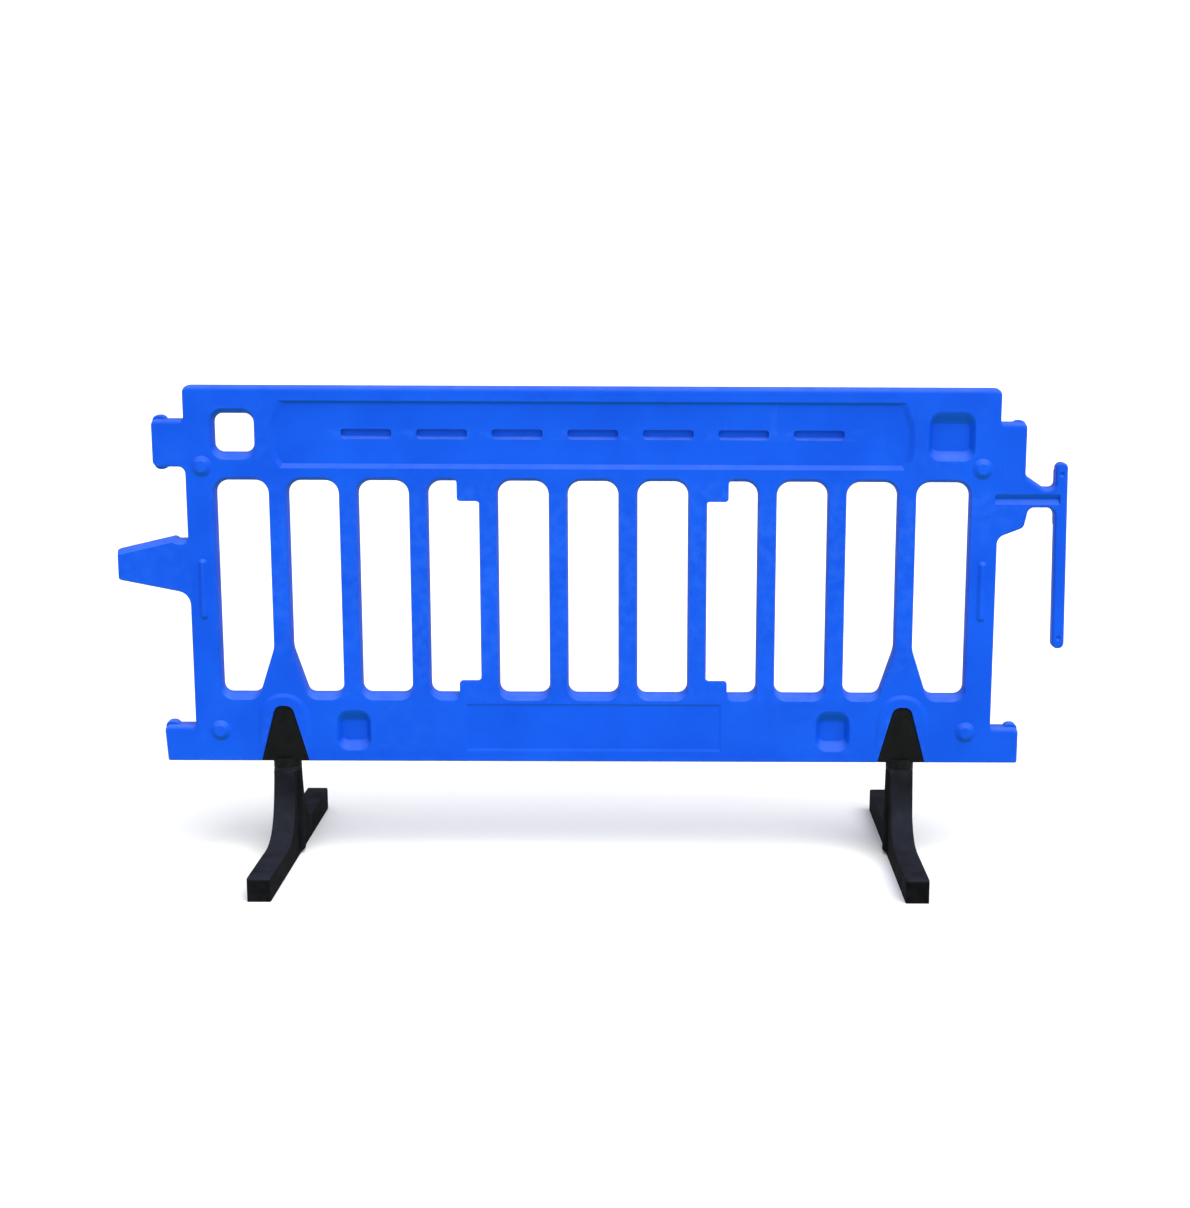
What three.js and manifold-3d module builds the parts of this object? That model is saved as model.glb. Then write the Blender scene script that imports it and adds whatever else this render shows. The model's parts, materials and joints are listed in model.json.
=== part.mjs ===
// Crowd barrier, 2 m long and 1 m tall: one moulded panel with vertical bars, a tongue at its left
// end and a T-shaped hook at its right end for linking panels, and two feet that swivel under it.
// Millimetres, +Z up, +X along the panel, the front face towards -Y, the ground at Z = 0.

import * as THREE from "three";
import { mergeVertices } from "three/addons/utils/BufferGeometryUtils.js";
import Module from "manifold-3d";

const wasm = await Module();
wasm.setup();

// ---------------------------------------------------------------- driving dimensions

const HEIGHT = 996; // ground to the panel's top edge
const HALF_LENGTH = 986.5; // middle to the tongue's tip, and to the hook's outer side
const PANEL_X = 839; // middle to the panel's own end
const PANEL_Z = 205.5; // underside of the bottom rail
const FACE = 22; // half the panel's thickness

const EDGE = { depth: 10, top: 13, side: 5, under: 4 }; // rounding of the panel's outer edges
const CORNER_STEPS = 3; // segments in one rounded corner
const ROUNDING_STEPS = 2; // segments in one rounded edge
const GAP = 0.3; // between pieces that touch
const CLEAR = 10; // how far a cutter starts in front of the face, past everything that stands out
const OVER = 1; // how far a cutter, or a piece to be joined, runs past a surface it meets
const CORNER = { tight: 1, sharp: 5, round: 12, blunt: 14 }; // radii of the outline's corners
const STEEP = 0.6; // a side counts as level, not upright, above this slope of its normal

const BAR_COUNT = 10;
const BAR_PITCH = 144.5;
const BAR_HALF = 19.7; // half a bar's width at mid-thickness
const POST_INNER = 780; // middle to the inner side of an end post
const WINDOW = { bottom: 353, top: 801.5, low: 20, high: 28 }; // low, high: corner radii
const WINDOW_FLARE = { jamb: 3, sill: 14.5, head: 7.5 };
const WIDE = { top: 449, foot: 51, corner: 20, blend: 60 }; // a bar over a foot, below Z = top
const NOTCH = { x: 280.5, bottom: 381.5, top: 761, radius: 7, plate: 8 }; // plates at two bars
const FLARE = { knee: 0.35, waist: 5 }; // share left at the plates' depth, and where it ends

const BAND = { bottom: 828, top: 966, corner: 642, bulge: 661, radius: 4 };
const BAND_FLOOR = { depth: 6.5, dish: 2.5, flat: 44, corner: 5 };
const BAND_WALL = { head: 5, sill: 9, end: 11 };
const BAND_BULGE = { low: 25, high: 48, radius: 50 }; // its ends bulge between these heights
const SLOT = { count: 7, pitch: 155.2, length: 102, z: 900.5, width: 15, radius: 6 };
const SLOT_WALL = { web: 3, lip: 5, end: 1 }; // web: half the thickness left behind a slot
const LABEL = { x: 269.5, bottom: 228.5, top: 332, radius: 2 };
const LABEL_WALL = { depth: 2.4, head: 4, sill: 7, end: 5 };
const HAND_HOLE = { x0: -779, x1: -696.5, bottom: 859.5, top: 939, radius: 19 };
const HAND_FLARE = { jamb: 5, sill: 15, head: 11 };
const POCKET = { depth: 17, radius: 26, head: 28, sill: 22, end: 11 };
const POCKET_WALL = [[0, 0], [0.25, 0.28], [0.75, 0.72], [1, 1]]; // shares of depth and of slope
const TOP_POCKET = { x0: 690, x1: 786, bottom: 846, top: 949 };
const RAIL_POCKET = { x0: 469, x1: 541, bottom: 229, top: 318 };

const BOSS = { base: 21.5, top: 12, height: 8 };
const BOSSES = [
  [-803, 831],
  [803, 831],
  [-785, 273],
  [785, 273],
];
const RIB = { x: 809, bottom: 511, top: 638, half: 9.5, round: 9, crest: 3.5, height: 6 };
const HOLLOW_PLAY = 0.5; // a hollow behind is this much larger than the boss it takes

const TAB = { upper: [829, 927], low: 283, x: 905, lean: 5 };
const TAB_RIGHT = { top: 927, end: 893, lowEnd: 898 }; // the upper and the lower right tab
const KNUCKLE = { length: 31, rise: 8, drop: 6, half: 11, corner: 13, root: 40 };
const KNUCKLE_ROUND = { depth: 4, inset: 3 };
const TONGUE = { tip: [592, 656], round: [6, 3], root: [563, 679], fillet: [30, 8] };
const TONGUE_ROOT = { inside: 30, spread: 45 }; // how far it runs into the panel, and past itself
const TONGUE_BEVEL = { upper: 11, lower: 5, end: 2, from: 9, knee: 13, share: 0.15 };
const TONGUE_STEP = { x: 869, rise: 5, run: 9 }; // small step where its top meets the panel
const ARM = { bottom: 751, top: 792.5, end: 974, low: 18, high: 12 }; // low, high: fillets
const SHOULDER = { x: 893, top: 818, foot: 931, chin: 709, lean: 9, root: 688, fillet: 20 };
const HOOK = { bottom: 454, top: 845, width: 25.3, lean: 7, back: 8, end: 12 };
const HOOK_ROUND = { depth: 7, inset: 5 };
const ARM_TAPER = { from: 905, to: 950, past: 20, below: 60 }; // slopes in to the hook's back
const GROOVE = { x0: 831, x1: 965, z: 768.5, half: 11, depth: 7, radius: 2, slope: 10.5 };
const DIMPLE = { r: 5, depth: 3, above: 24, below: 23 };

const FOOT_X = 651; // middle to a foot's swivel axis
const SOCKET = { half: 50, top: 326, apex: 17, halfTop: 17, lift: 1.5, bevel: 1, ring: 8 };
const KEY = { rib: 3, crest: 3, base: 6 }; // rib round a socket: height, and half its widths
const PAD = { half: 55, bottom: 225, top: 353, height: 4.5 }; // swelling over each socket
const PAD_SLOPE = { head: 7, end: 9, sill: 70 };
const FOOT = { half: 321, width: 46.5, toe: 50, top: 189, neck: 34, bevel: 3, round: 6 };
const SWEEP = [[150, 49], [70, 48], [48, 95]]; // curve from a toe up to the neck: [from axis, z]
const POST = { top: 29, bottom: 32, from: 6, under: 4, edge: 2 }; // radii of a foot's round post
const WASHER = { r: 29, top: 192.5 }; // between a foot and its socket

const BOLT = { r: 8, head: 100, headHeight: 10, length: 164, flats: 24, tip: 2, room: 8 };
const COUNTERBORE = 17.5; // for the bolt's head, open at the sole
const BUSH = { inner: 8.5, outer: 12 };
const PLATE = { r: 16.5, height: 3 }; // washer over the bolt's head
const NUT = { bottom: 242, height: 16, collar: 4, shoulder: 1.5 };
const ROUND_SIDES = 24;

const MATERIALS = {
  panel: new THREE.MeshStandardMaterial({ color: 0x1757f0, roughness: 0.42, metalness: 0 }),
  rubber: new THREE.MeshStandardMaterial({ color: 0x1f2123, roughness: 0.72, metalness: 0 }),
  socket: new THREE.MeshStandardMaterial({ color: 0x191c1b, roughness: 0.6, metalness: 0 }),
  nylon: new THREE.MeshStandardMaterial({ color: 0x2a2a2c, roughness: 0.5, metalness: 0 }),
  steel: new THREE.MeshStandardMaterial({ color: 0xb4b6ba, roughness: 0.35, metalness: 1 }),
};

// ---------------------------------------------------------------- solids

// A closed geometry as a manifold solid, which can be joined and cut.
function solid(geometry) {
  const bare = geometry.clone();
  bare.deleteAttribute("normal");
  bare.deleteAttribute("uv");
  const merged = mergeVertices(bare, 1e-4);
  return new wasm.Manifold(
    new wasm.Mesh({
      numProp: 3,
      vertProperties: new Float32Array(merged.attributes.position.array),
      triVerts: new Uint32Array(merged.index.array),
    }),
  );
}

// A manifold solid, or a geometry, as a named mesh.
function named(name, shape, material) {
  let geometry = shape;
  if (!shape.isBufferGeometry) {
    const made = shape.getMesh();
    geometry = new THREE.BufferGeometry();
    geometry.setAttribute("position", new THREE.BufferAttribute(made.vertProperties, 3));
    geometry.setIndex(new THREE.BufferAttribute(made.triVerts, 1));
    geometry.computeVertexNormals();
  }
  const mesh = new THREE.Mesh(geometry, material);
  mesh.name = name;
  return mesh;
}

const join = (first, ...others) => others.reduce((all, one) => all.add(one), first);
const cut = (first, ...others) => others.reduce((rest, one) => rest.subtract(one), first);

// The points of an outline whose corners are [x, z, radius, fixed], anticlockwise seen from the
// front. Every side first moves outwards by grow(nx, nz), where (nx, nz) is the side's outward
// normal, except a side that starts at a fixed corner.
function outline(corners, grow, steps = CORNER_STEPS) {
  const count = corners.length;
  const sides = corners.map(([x, z], i) => {
    const [nextX, nextZ] = corners[(i + 1) % count];
    const length = Math.hypot(nextX - x, nextZ - z);
    const along = [(nextX - x) / length, (nextZ - z) / length];
    const out = [along[1], -along[0]];
    const offset = corners[i][3] ? 0 : grow(out[0], out[1]);
    return { x: x + out[0] * offset, z: z + out[1] * offset, along, offset };
  });
  return sides.flatMap((side, i) => {
    const before = sides[(i + count - 1) % count];
    const turn = before.along[0] * side.along[1] - before.along[1] * side.along[0];
    const reach =
      ((side.x - before.x) * side.along[1] - (side.z - before.z) * side.along[0]) / turn;
    const corner = [before.x + before.along[0] * reach, before.z + before.along[1] * reach];
    const hand = Math.sign(turn);
    const wanted = corners[i][2] + (hand * (side.offset + before.offset)) / 2;
    const radius = Math.max(wanted, 0.5);
    const angle = Math.asin(Math.min(1, Math.abs(turn)));
    const dot = before.along[0] * side.along[0] + before.along[1] * side.along[1];
    const bend = dot < 0 ? Math.PI - angle : angle;
    const back = radius * Math.tan(bend / 2);
    const centre = [
      corner[0] - before.along[0] * back - before.along[1] * radius * hand,
      corner[1] - before.along[1] * back + before.along[0] * radius * hand,
    ];
    const start = Math.atan2(-before.along[0] * hand, before.along[1] * hand);
    return Array.from({ length: steps + 1 }, (_, k) => {
      const at = start + (hand * bend * k) / steps;
      return [centre[0] + radius * Math.cos(at), centre[1] + radius * Math.sin(at)];
    });
  });
}

// A closed solid that holds an outline at each step of a profile through the panel's thickness.
// A step is [y, share, extra]: each side has moved outwards by share * side(normal) + extra.
function loft(corners, profile, side = () => 1, steps = CORNER_STEPS) {
  const rings = profile.map(([y, share, extra = 0]) =>
    outline(corners, (nx, nz) => share * side(nx, nz) + extra, steps).map(([x, z]) => [x, y, z]),
  );
  const size = rings[0].length;
  const faces = [];
  for (let r = 0; r + 1 < rings.length; r++) {
    for (let i = 0; i < size; i++) {
      const next = (i + 1) % size;
      const [a, b] = [r * size + i, r * size + next];
      faces.push(a, a + size, b + size, a, b + size, b);
    }
  }
  const cap = (ring) =>
    THREE.ShapeUtils.triangulateShape(ring.map(([x, , z]) => new THREE.Vector2(x, z)), []);
  const last = (rings.length - 1) * size;
  cap(rings[0]).forEach(([a, b, c]) => faces.push(a, b, c));
  cap(rings[rings.length - 1]).forEach(([a, b, c]) => faces.push(last + a, last + c, last + b));
  const geometry = new THREE.BufferGeometry();
  geometry.setAttribute("position", new THREE.Float32BufferAttribute(rings.flat(2), 3));
  geometry.setIndex(faces);
  return solid(geometry);
}

// The same profile seen from the back face.
const fromBack = (profile) => profile.map(([y, ...rest]) => [-y, ...rest]).reverse();

// The steps of a quarter round from a face at y = -half to the side, depth further in.
function quarterRound(half, depth, atFace) {
  return Array.from({ length: ROUNDING_STEPS + 1 }, (_, k) => {
    const angle = ((k / ROUNDING_STEPS) * Math.PI) / 2;
    return [-half + depth * (1 - Math.cos(angle)), atFace * (1 - Math.sin(angle))];
  });
}

const rectangle = (x0, x1, bottom, top, low, high = low) => [
  [x0, bottom, low],
  [x1, bottom, low],
  [x1, top, high],
  [x0, top, high],
];
const disc = (x, z, r) => rectangle(x - r, x + r, z - r, z + r, r);

// A mirrored outline. A side's fixed mark sits at its other end once the order is reversed.
function mirrored(corners) {
  const last = corners.length - 1;
  const fixed = (i) => corners[i === 0 ? last : i - 1][3];
  return corners.map(([x, z, r], i) => [-x, z, r, fixed(i)]).reverse();
}

// ---------------------------------------------------------------- the panel

const isSill = (nz) => nz < -STEEP;
const isHead = (nz) => nz > STEEP;

// How far each kind of side moves: a head faces down into an opening, a sill faces up.
const bySide = (head, sill, end) => (nx, nz) => (isHead(nz) ? head : isSill(nz) ? sill : end);

// The panel's outline without its tongue: tabs at its corners and the hook's arm on the right.
function panelOutline() {
  const { x: tab, low, lean } = TAB;
  const [upperBottom, upperTop] = TAB.upper;
  const { tight, sharp, round, blunt } = CORNER;
  const armFoot = ARM.bottom - 2 * ARM.low;
  const armHead = ARM.top + 3 * ARM.high;
  return [
    [-tab + lean, PANEL_Z, sharp],
    [TAB_RIGHT.lowEnd, PANEL_Z, sharp],
    [TAB_RIGHT.lowEnd, low, round],
    [PANEL_X, low, sharp],
    [PANEL_X, SHOULDER.root, SHOULDER.fillet],
    [SHOULDER.x, SHOULDER.chin, blunt],
    [SHOULDER.x + SHOULDER.lean, ARM.bottom, blunt],
    [hookInner(ARM.bottom), ARM.bottom, ARM.low],
    [hookInner(armFoot), armFoot, tight],
    [ARM.end, armFoot, tight],
    [ARM.end, armHead, tight],
    [hookInner(armHead), armHead, tight],
    [hookInner(ARM.top), ARM.top, ARM.high],
    [SHOULDER.foot, ARM.top, round],
    [SHOULDER.x, SHOULDER.top, round],
    [TAB_RIGHT.end, TAB_RIGHT.top, round],
    [PANEL_X, TAB_RIGHT.top, sharp],
    [PANEL_X, HEIGHT, blunt],
    [-PANEL_X, HEIGHT, blunt],
    [-PANEL_X, upperTop, sharp],
    [-tab, upperTop, round],
    [-tab, upperBottom, round],
    [-PANEL_X, upperBottom, blunt],
    [-PANEL_X, low, sharp],
    [-tab, low, round],
  ];
}

// The hook's bar leans a little towards the panel at its top.
const hookInner = (z) =>
  HALF_LENGTH - HOOK.width - (HOOK.lean * (z - HOOK.bottom)) / (HOOK.top - HOOK.bottom);

function hookBar() {
  const { bottom, top, lean, back, end } = HOOK;
  const corners = [
    [hookInner(bottom), bottom, end],
    [HALF_LENGTH, bottom, end],
    [HALF_LENGTH - lean, top, end],
    [hookInner(top), top, end],
  ];
  const front = quarterRound(FACE, HOOK_ROUND.depth, -HOOK_ROUND.inset);
  const rear = front.map(([y, share]) => [back - FACE - y, share]).reverse();
  return loft(corners, [...front, ...rear]);
}

// Ridges along the middle of the tabs' thickness, at their outer ends.
function knuckles() {
  const { length, rise, drop, half, corner, root } = KNUCKLE;
  const [upperBottom, upperTop] = TAB.upper;
  const { top, end, lowEnd } = TAB_RIGHT;
  const left = -TAB.x;
  const above = (x0, x1, z, up) => rectangle(x0, x1, z - root, z + up, CORNER.sharp, corner);
  const below = (x0, x1, z, down) => rectangle(x0, x1, z - down, z + root, corner, CORNER.sharp);
  const shapes = [
    above(left + OVER, left + length, upperTop, rise),
    below(left + OVER, left + length, upperBottom, drop),
    above(left + OVER, left + length, TAB.low, rise),
    above(lowEnd - length, lowEnd - OVER, TAB.low, rise),
    above(end - length, end - OVER, top, rise / 2),
  ];
  const profile = quarterRound(half, KNUCKLE_ROUND.depth, -KNUCKLE_ROUND.inset);
  return shapes.map((corners) => loft(corners, [...profile, ...fromBack(profile)]));
}

// The tongue tapers to its tip and runs into the panel's end in fillets.
function tongueOutline() {
  const inside = PANEL_X - TONGUE_ROOT.inside;
  const [lowTip, highTip] = TONGUE.tip;
  const [lowRoot, highRoot] = TONGUE.root;
  const lowEnd = lowRoot - TONGUE_ROOT.spread;
  const highEnd = highRoot + TONGUE_ROOT.spread;
  const { x, rise, run } = TONGUE_STEP;
  const { tight, sharp } = CORNER;
  return [
    [-HALF_LENGTH, lowTip, TONGUE.round[0]],
    [-PANEL_X, lowRoot, TONGUE.fillet[0]],
    [-PANEL_X, lowEnd, tight],
    [-inside, lowEnd, tight],
    [-inside, highEnd, tight],
    [-PANEL_X, highEnd, tight],
    [-PANEL_X, highRoot, TONGUE.fillet[1]],
    [-x + run, highRoot, sharp],
    [-x, highRoot + rise, sharp],
    [-HALF_LENGTH, highTip, TONGUE.round[1]],
  ];
}

// The window left of bar number right, anticlockwise from its lower left corner.
function windowCorners(right) {
  const bar = (k) => (k - (BAR_COUNT - 1) / 2) * BAR_PITCH;
  const overFoot = (k) => k === 0 || k === BAR_COUNT - 1;
  const x0 = right === 0 ? -POST_INNER : bar(right - 1) + BAR_HALF;
  const x1 = right === BAR_COUNT ? POST_INNER : bar(right) - BAR_HALF;
  const { bottom, top, low, high } = WINDOW;
  if (overFoot(right)) {
    const spread = bar(right) - WIDE.foot;
    return [
      [x0, bottom, low],
      [spread, bottom, WIDE.corner],
      [x1, WIDE.top, WIDE.blend],
      [x1, top, high],
      [x0, top, high],
    ];
  }
  if (right > 0 && overFoot(right - 1)) {
    const spread = bar(right - 1) + WIDE.foot;
    return [
      [spread, bottom, WIDE.corner],
      [x1, bottom, low],
      [x1, top, high],
      [x0, top, high],
      [x0, WIDE.top, WIDE.blend],
    ];
  }
  return rectangle(x0, x1, bottom, top, low, high);
}

// The same window around the square plates in its two right-hand corners.
function besidePlates([[x0], [x1]]) {
  const { x, bottom, top, radius } = NOTCH;
  return [
    [x0, WINDOW.bottom, WINDOW.low],
    [-x, WINDOW.bottom, radius, true],
    [-x, bottom, radius, true],
    [x1, bottom, radius],
    [x1, top, radius, true],
    [-x, top, radius, true],
    [-x, WINDOW.top, radius],
    [x0, WINDOW.top, WINDOW.high],
  ];
}

// Through the panel, with two facets at each face that lead into the opening.
const FLARED = [
  [-FACE - CLEAR, 1],
  [-FACE, 1],
  [-FACE + NOTCH.plate, FLARE.knee],
  [-FLARE.waist, 0],
  [FLARE.waist, 0],
  [FACE - NOTCH.plate, FLARE.knee],
  [FACE, 1],
  [FACE + OVER, 1],
];

function windowCutters() {
  const side = bySide(WINDOW_FLARE.head, WINDOW_FLARE.sill, WINDOW_FLARE.jamb);
  const behindPlates = FLARED.filter(([y]) => y >= -FACE + NOTCH.plate);
  return Array.from({ length: BAR_COUNT + 1 }, (_, i) => {
    const corners = windowCorners(i);
    const left = corners[0][0];
    const right = corners[1][0];
    if (left < -NOTCH.x && -NOTCH.x < right) {
      return [loft(besidePlates(corners), FLARED, side), loft(corners, behindPlates, side)];
    }
    if (left < NOTCH.x && NOTCH.x < right) {
      const around = mirrored(besidePlates([[-right], [-left]]));
      return [loft(around, FLARED, side), loft(corners, behindPlates, side)];
    }
    return [loft(corners, FLARED, side)];
  }).flat();
}

// A hole for a hand, flared at both faces.
function handHoleCutter() {
  const { x0, x1, bottom, top, radius } = HAND_HOLE;
  const side = bySide(HAND_FLARE.head, HAND_FLARE.sill, HAND_FLARE.jamb);
  return loft(rectangle(x0, x1, bottom, top, radius), FLARED, side);
}

// The same cutter at the front and at the back.
const bothFaces = (corners, profile, side) => [
  loft(corners, profile, side),
  loft(corners, fromBack(profile), side),
];

// The long dished recess in the top rail, with its row of slots.
function bandCutters() {
  const { bottom, top, corner, bulge } = BAND;
  const { depth, dish, flat } = BAND_FLOOR;
  const low = bottom + BAND_BULGE.low;
  const high = top - BAND_BULGE.high;
  const { radius } = BAND_BULGE;
  const corners = [
    [-corner, bottom, BAND.radius],
    [corner, bottom, BAND.radius],
    [bulge, low, radius],
    [bulge, high, radius],
    [corner, top, BAND.radius],
    [-corner, top, BAND.radius],
    [-bulge, high, radius],
    [-bulge, low, radius],
  ];
  const floor = -FACE + depth;
  const walls = [
    [-FACE - CLEAR, 0],
    [-FACE, 0],
    [floor, -1],
  ];
  const { head, sill, end } = BAND_WALL;
  const flatSide = corner - end;
  const dished = rectangle(-flatSide, flatSide, bottom + sill, top - head, BAND_FLOOR.corner);
  const dishCurve = [0, 0.5, 1].map((k) => [floor + dish * (1 - (1 - k) ** 2), -k]);
  const slotProfile = [
    [-FACE - CLEAR, 1],
    [floor + dish, 1],
    [-SLOT_WALL.web, 0],
  ];
  const lip = bySide(0, SLOT_WALL.lip, SLOT_WALL.end);
  const slots = Array.from({ length: SLOT.count }, (_, i) => {
    const x = (i - (SLOT.count - 1) / 2) * SLOT.pitch;
    const half = SLOT.width / 2;
    const end = SLOT.length / 2;
    return rectangle(x - end, x + end, SLOT.z - half, SLOT.z + half, SLOT.radius);
  });
  return [
    ...bothFaces(corners, walls, bySide(head, sill, end)),
    ...bothFaces(dished, [[-FACE - CLEAR, 0], ...dishCurve], () => flat),
    ...slots.flatMap((slot) => bothFaces(slot, slotProfile, lip)),
  ];
}

// A blind pocket with sloped walls, steeper at its sides, in both faces.
function pocketCutters({ x0, x1, bottom, top }) {
  const { depth, radius, head, sill, end } = POCKET;
  const walls = POCKET_WALL.map(([deep, slope]) => [-FACE + depth * deep, -slope]);
  const corners = rectangle(x0, x1, bottom, top, radius);
  return bothFaces(corners, [[-FACE - CLEAR, 0], ...walls], bySide(head, sill, end));
}

// A shallow flat recess for a label, in the front face.
function labelCutter() {
  const { x, bottom, top, radius } = LABEL;
  const { depth, head, sill, end } = LABEL_WALL;
  const profile = [
    [-FACE - CLEAR, 0],
    [-FACE, 0],
    [-FACE + depth, -1],
  ];
  return loft(rectangle(-x, x, bottom, top, radius), profile, bySide(head, sill, end));
}

// Bosses and ribs stand out of the front face, and fit the hollows behind when panels are stacked.
function stackingShapes() {
  const { half, crest } = RIB;
  const ribs = [-RIB.x, RIB.x].map((x) =>
    rectangle(x - half, x + half, RIB.bottom, RIB.top, RIB.round),
  );
  const shapes = [
    ...BOSSES.map(([x, z]) => [disc(x, z, BOSS.base), BOSS.height, BOSS.base - BOSS.top]),
    ...ribs.map((corners) => [corners, RIB.height, half - crest]),
  ];
  const raised = shapes.map(([corners, height, slope]) =>
    loft(corners, [[-FACE - height, -slope], [-FACE, 0], [-FACE + OVER, 0]]),
  );
  const play = HOLLOW_PLAY;
  const hollows = shapes.map(([corners, height, slope]) =>
    loft(corners, [[FACE - height - play, play - slope], [FACE, play], [FACE + OVER, play]]),
  );
  return { raised, hollows };
}

// A V-shaped groove along the hook's arm, a dimple near each end of its bar, and the slope that thins
// the arm from behind.
function hookCutters() {
  const { x0, x1, z, half, depth, radius } = GROOVE;
  const groove = rectangle(x0, x1, z - half, z + half, radius);
  const acrossOnly = (nx, nz) => (Math.abs(nz) > STEEP ? GROOVE.slope : 1);
  const grooveProfile = [
    [-FACE - CLEAR, 0],
    [-FACE, 0],
    [-FACE + depth, -1],
  ];
  const dimples = [HOOK.bottom + DIMPLE.below, HOOK.top - DIMPLE.above].map((at) =>
    loft(disc(hookInner(at) + HOOK.width / 2, at, DIMPLE.r), [
      [-FACE - CLEAR, 0],
      [-FACE, 0],
      [-FACE + DIMPLE.depth, -DIMPLE.depth],
    ]),
  );
  const { from, to, past, below } = ARM_TAPER;
  const behindArm = loft(
    rectangle(to, ARM.end + past, ARM.bottom - below, HOOK.top + past, CORNER.tight),
    [[HOOK.back, 0], [FACE + OVER, 1]],
    (nx) => (nx < -STEEP ? to - from : 0),
  );
  return [loft(groove, grooveProfile, acrossOnly), ...dimples, behindArm];
}

// The wedge that holds a foot's pivot: an outline that narrows to a rounded top.
function socketOutline(x, bottom) {
  const taper = (SOCKET.half - SOCKET.halfTop) / (SOCKET.top - PANEL_Z);
  const half = SOCKET.half + (PANEL_Z - bottom) * taper;
  return [
    [x - half, bottom, CORNER.tight],
    [x + half, bottom, CORNER.tight],
    [x + SOCKET.halfTop, SOCKET.top, SOCKET.apex],
    [x - SOCKET.halfTop, SOCKET.top, SOCKET.apex],
  ];
}

// A rib round the wedge at mid-thickness keys it into the panel. It leaves the underside flat.
const keyed = (nx, nz) => (isSill(nz) ? 0 : KEY.rib);
const keyProfile = (extra) => [
  [-KEY.base, 0, extra],
  [-KEY.crest, 1, extra],
  [KEY.crest, 1, extra],
  [KEY.base, 0, extra],
];

function socketCavity(x) {
  const profile = [[-FACE - CLEAR, 0, GAP], ...keyProfile(GAP), [FACE + OVER, 0, GAP]];
  return loft(socketOutline(x, PANEL_Z - OVER), profile, keyed);
}

// The moulding swells a little round each socket, most of all over its top.
function socketPads() {
  const { half, bottom, top, height } = PAD;
  const profile = [
    [-FACE - height, -1],
    [-FACE, 0],
    [-FACE + OVER, 0],
  ];
  const side = bySide(PAD_SLOPE.head, PAD_SLOPE.sill, PAD_SLOPE.end);
  return [-FOOT_X, FOOT_X].map((x) =>
    loft(rectangle(x - half, x + half, bottom, top, CORNER.sharp, half - OVER), profile, side),
  );
}

function panel() {
  const front = quarterRound(FACE, EDGE.depth, -1);
  const edges = [...front, ...fromBack(front)];
  const { upper, lower, end, from, knee, share } = TONGUE_BEVEL;
  const bevel = [
    [-FACE, -1],
    [-knee, -share],
    [-from, 0],
  ];
  const { raised, hollows } = stackingShapes();
  const body = join(
    loft(panelOutline(), edges, bySide(EDGE.top, EDGE.under, EDGE.side)),
    loft(tongueOutline(), [...bevel, ...fromBack(bevel)], bySide(upper, lower, end)),
    ...knuckles(),
    ...raised,
    ...socketPads(),
  );
  const cutBody = cut(
    body,
    ...windowCutters(),
    handHoleCutter(),
    ...bandCutters(),
    ...pocketCutters(TOP_POCKET),
    ...pocketCutters(RAIL_POCKET),
    ...pocketCutters({ ...RAIL_POCKET, x0: -RAIL_POCKET.x1, x1: -RAIL_POCKET.x0 }),
    labelCutter(),
    ...hollows,
    socketCavity(-FOOT_X),
    socketCavity(FOOT_X),
  );
  return cut(join(cutBody, hookBar()), ...hookCutters());
}

// ---------------------------------------------------------------- sockets and feet

// A turned solid about the vertical line through x, from [radius, z] points that close on
// themselves or start and end on the axis.
function turned(x, points, sides = ROUND_SIDES) {
  const profile = points.map(([r, z]) => new THREE.Vector2(r, z));
  const geometry = new THREE.LatheGeometry(profile, sides).rotateX(Math.PI / 2);
  return solid(geometry.translate(x, 0, 0));
}

const rod = (x, r, bottom, top) =>
  turned(x, [
    [0, bottom],
    [r, bottom],
    [r, top],
    [0, top],
  ]);

const tube = (x, inner, outer, bottom, top) =>
  turned(x, [
    [inner, bottom],
    [outer, bottom],
    [outer, top],
    [inner, top],
    [inner, bottom],
  ]);

// A hexagonal prism about the vertical line through x, with the given width across its flats.
function hexagon(x, flats, bottom, top) {
  const geometry = new THREE.CylinderGeometry(
    flats / Math.sqrt(3),
    flats / Math.sqrt(3),
    top - bottom,
    6,
  );
  return solid(geometry.rotateX(Math.PI / 2).translate(x, 0, (bottom + top) / 2));
}

const boltTop = BOLT.head + BOLT.length;

// The moulded-in wedge, with a flat bearing ring under it, a bore for the bolt and a nut's pocket.
function footSocket(x) {
  const { bevel, lift } = SOCKET;
  const front = [
    [-FACE + GAP, 0, -bevel],
    [-FACE + GAP + bevel, 0],
  ];
  const profile = [...front, ...keyProfile(0), ...fromBack(front)];
  const ring = rod(x, WASHER.r, WASHER.top + GAP, PANEL_Z + SOCKET.ring);
  return cut(
    join(loft(socketOutline(x, PANEL_Z + lift), profile, keyed), ring),
    rod(x, BOLT.r + GAP, WASHER.top - OVER, boltTop + BOLT.room),
    hexagon(x, BOLT.flats + 2 * GAP, NUT.bottom, NUT.bottom + NUT.height + 2 * GAP),
  );
}

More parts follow.
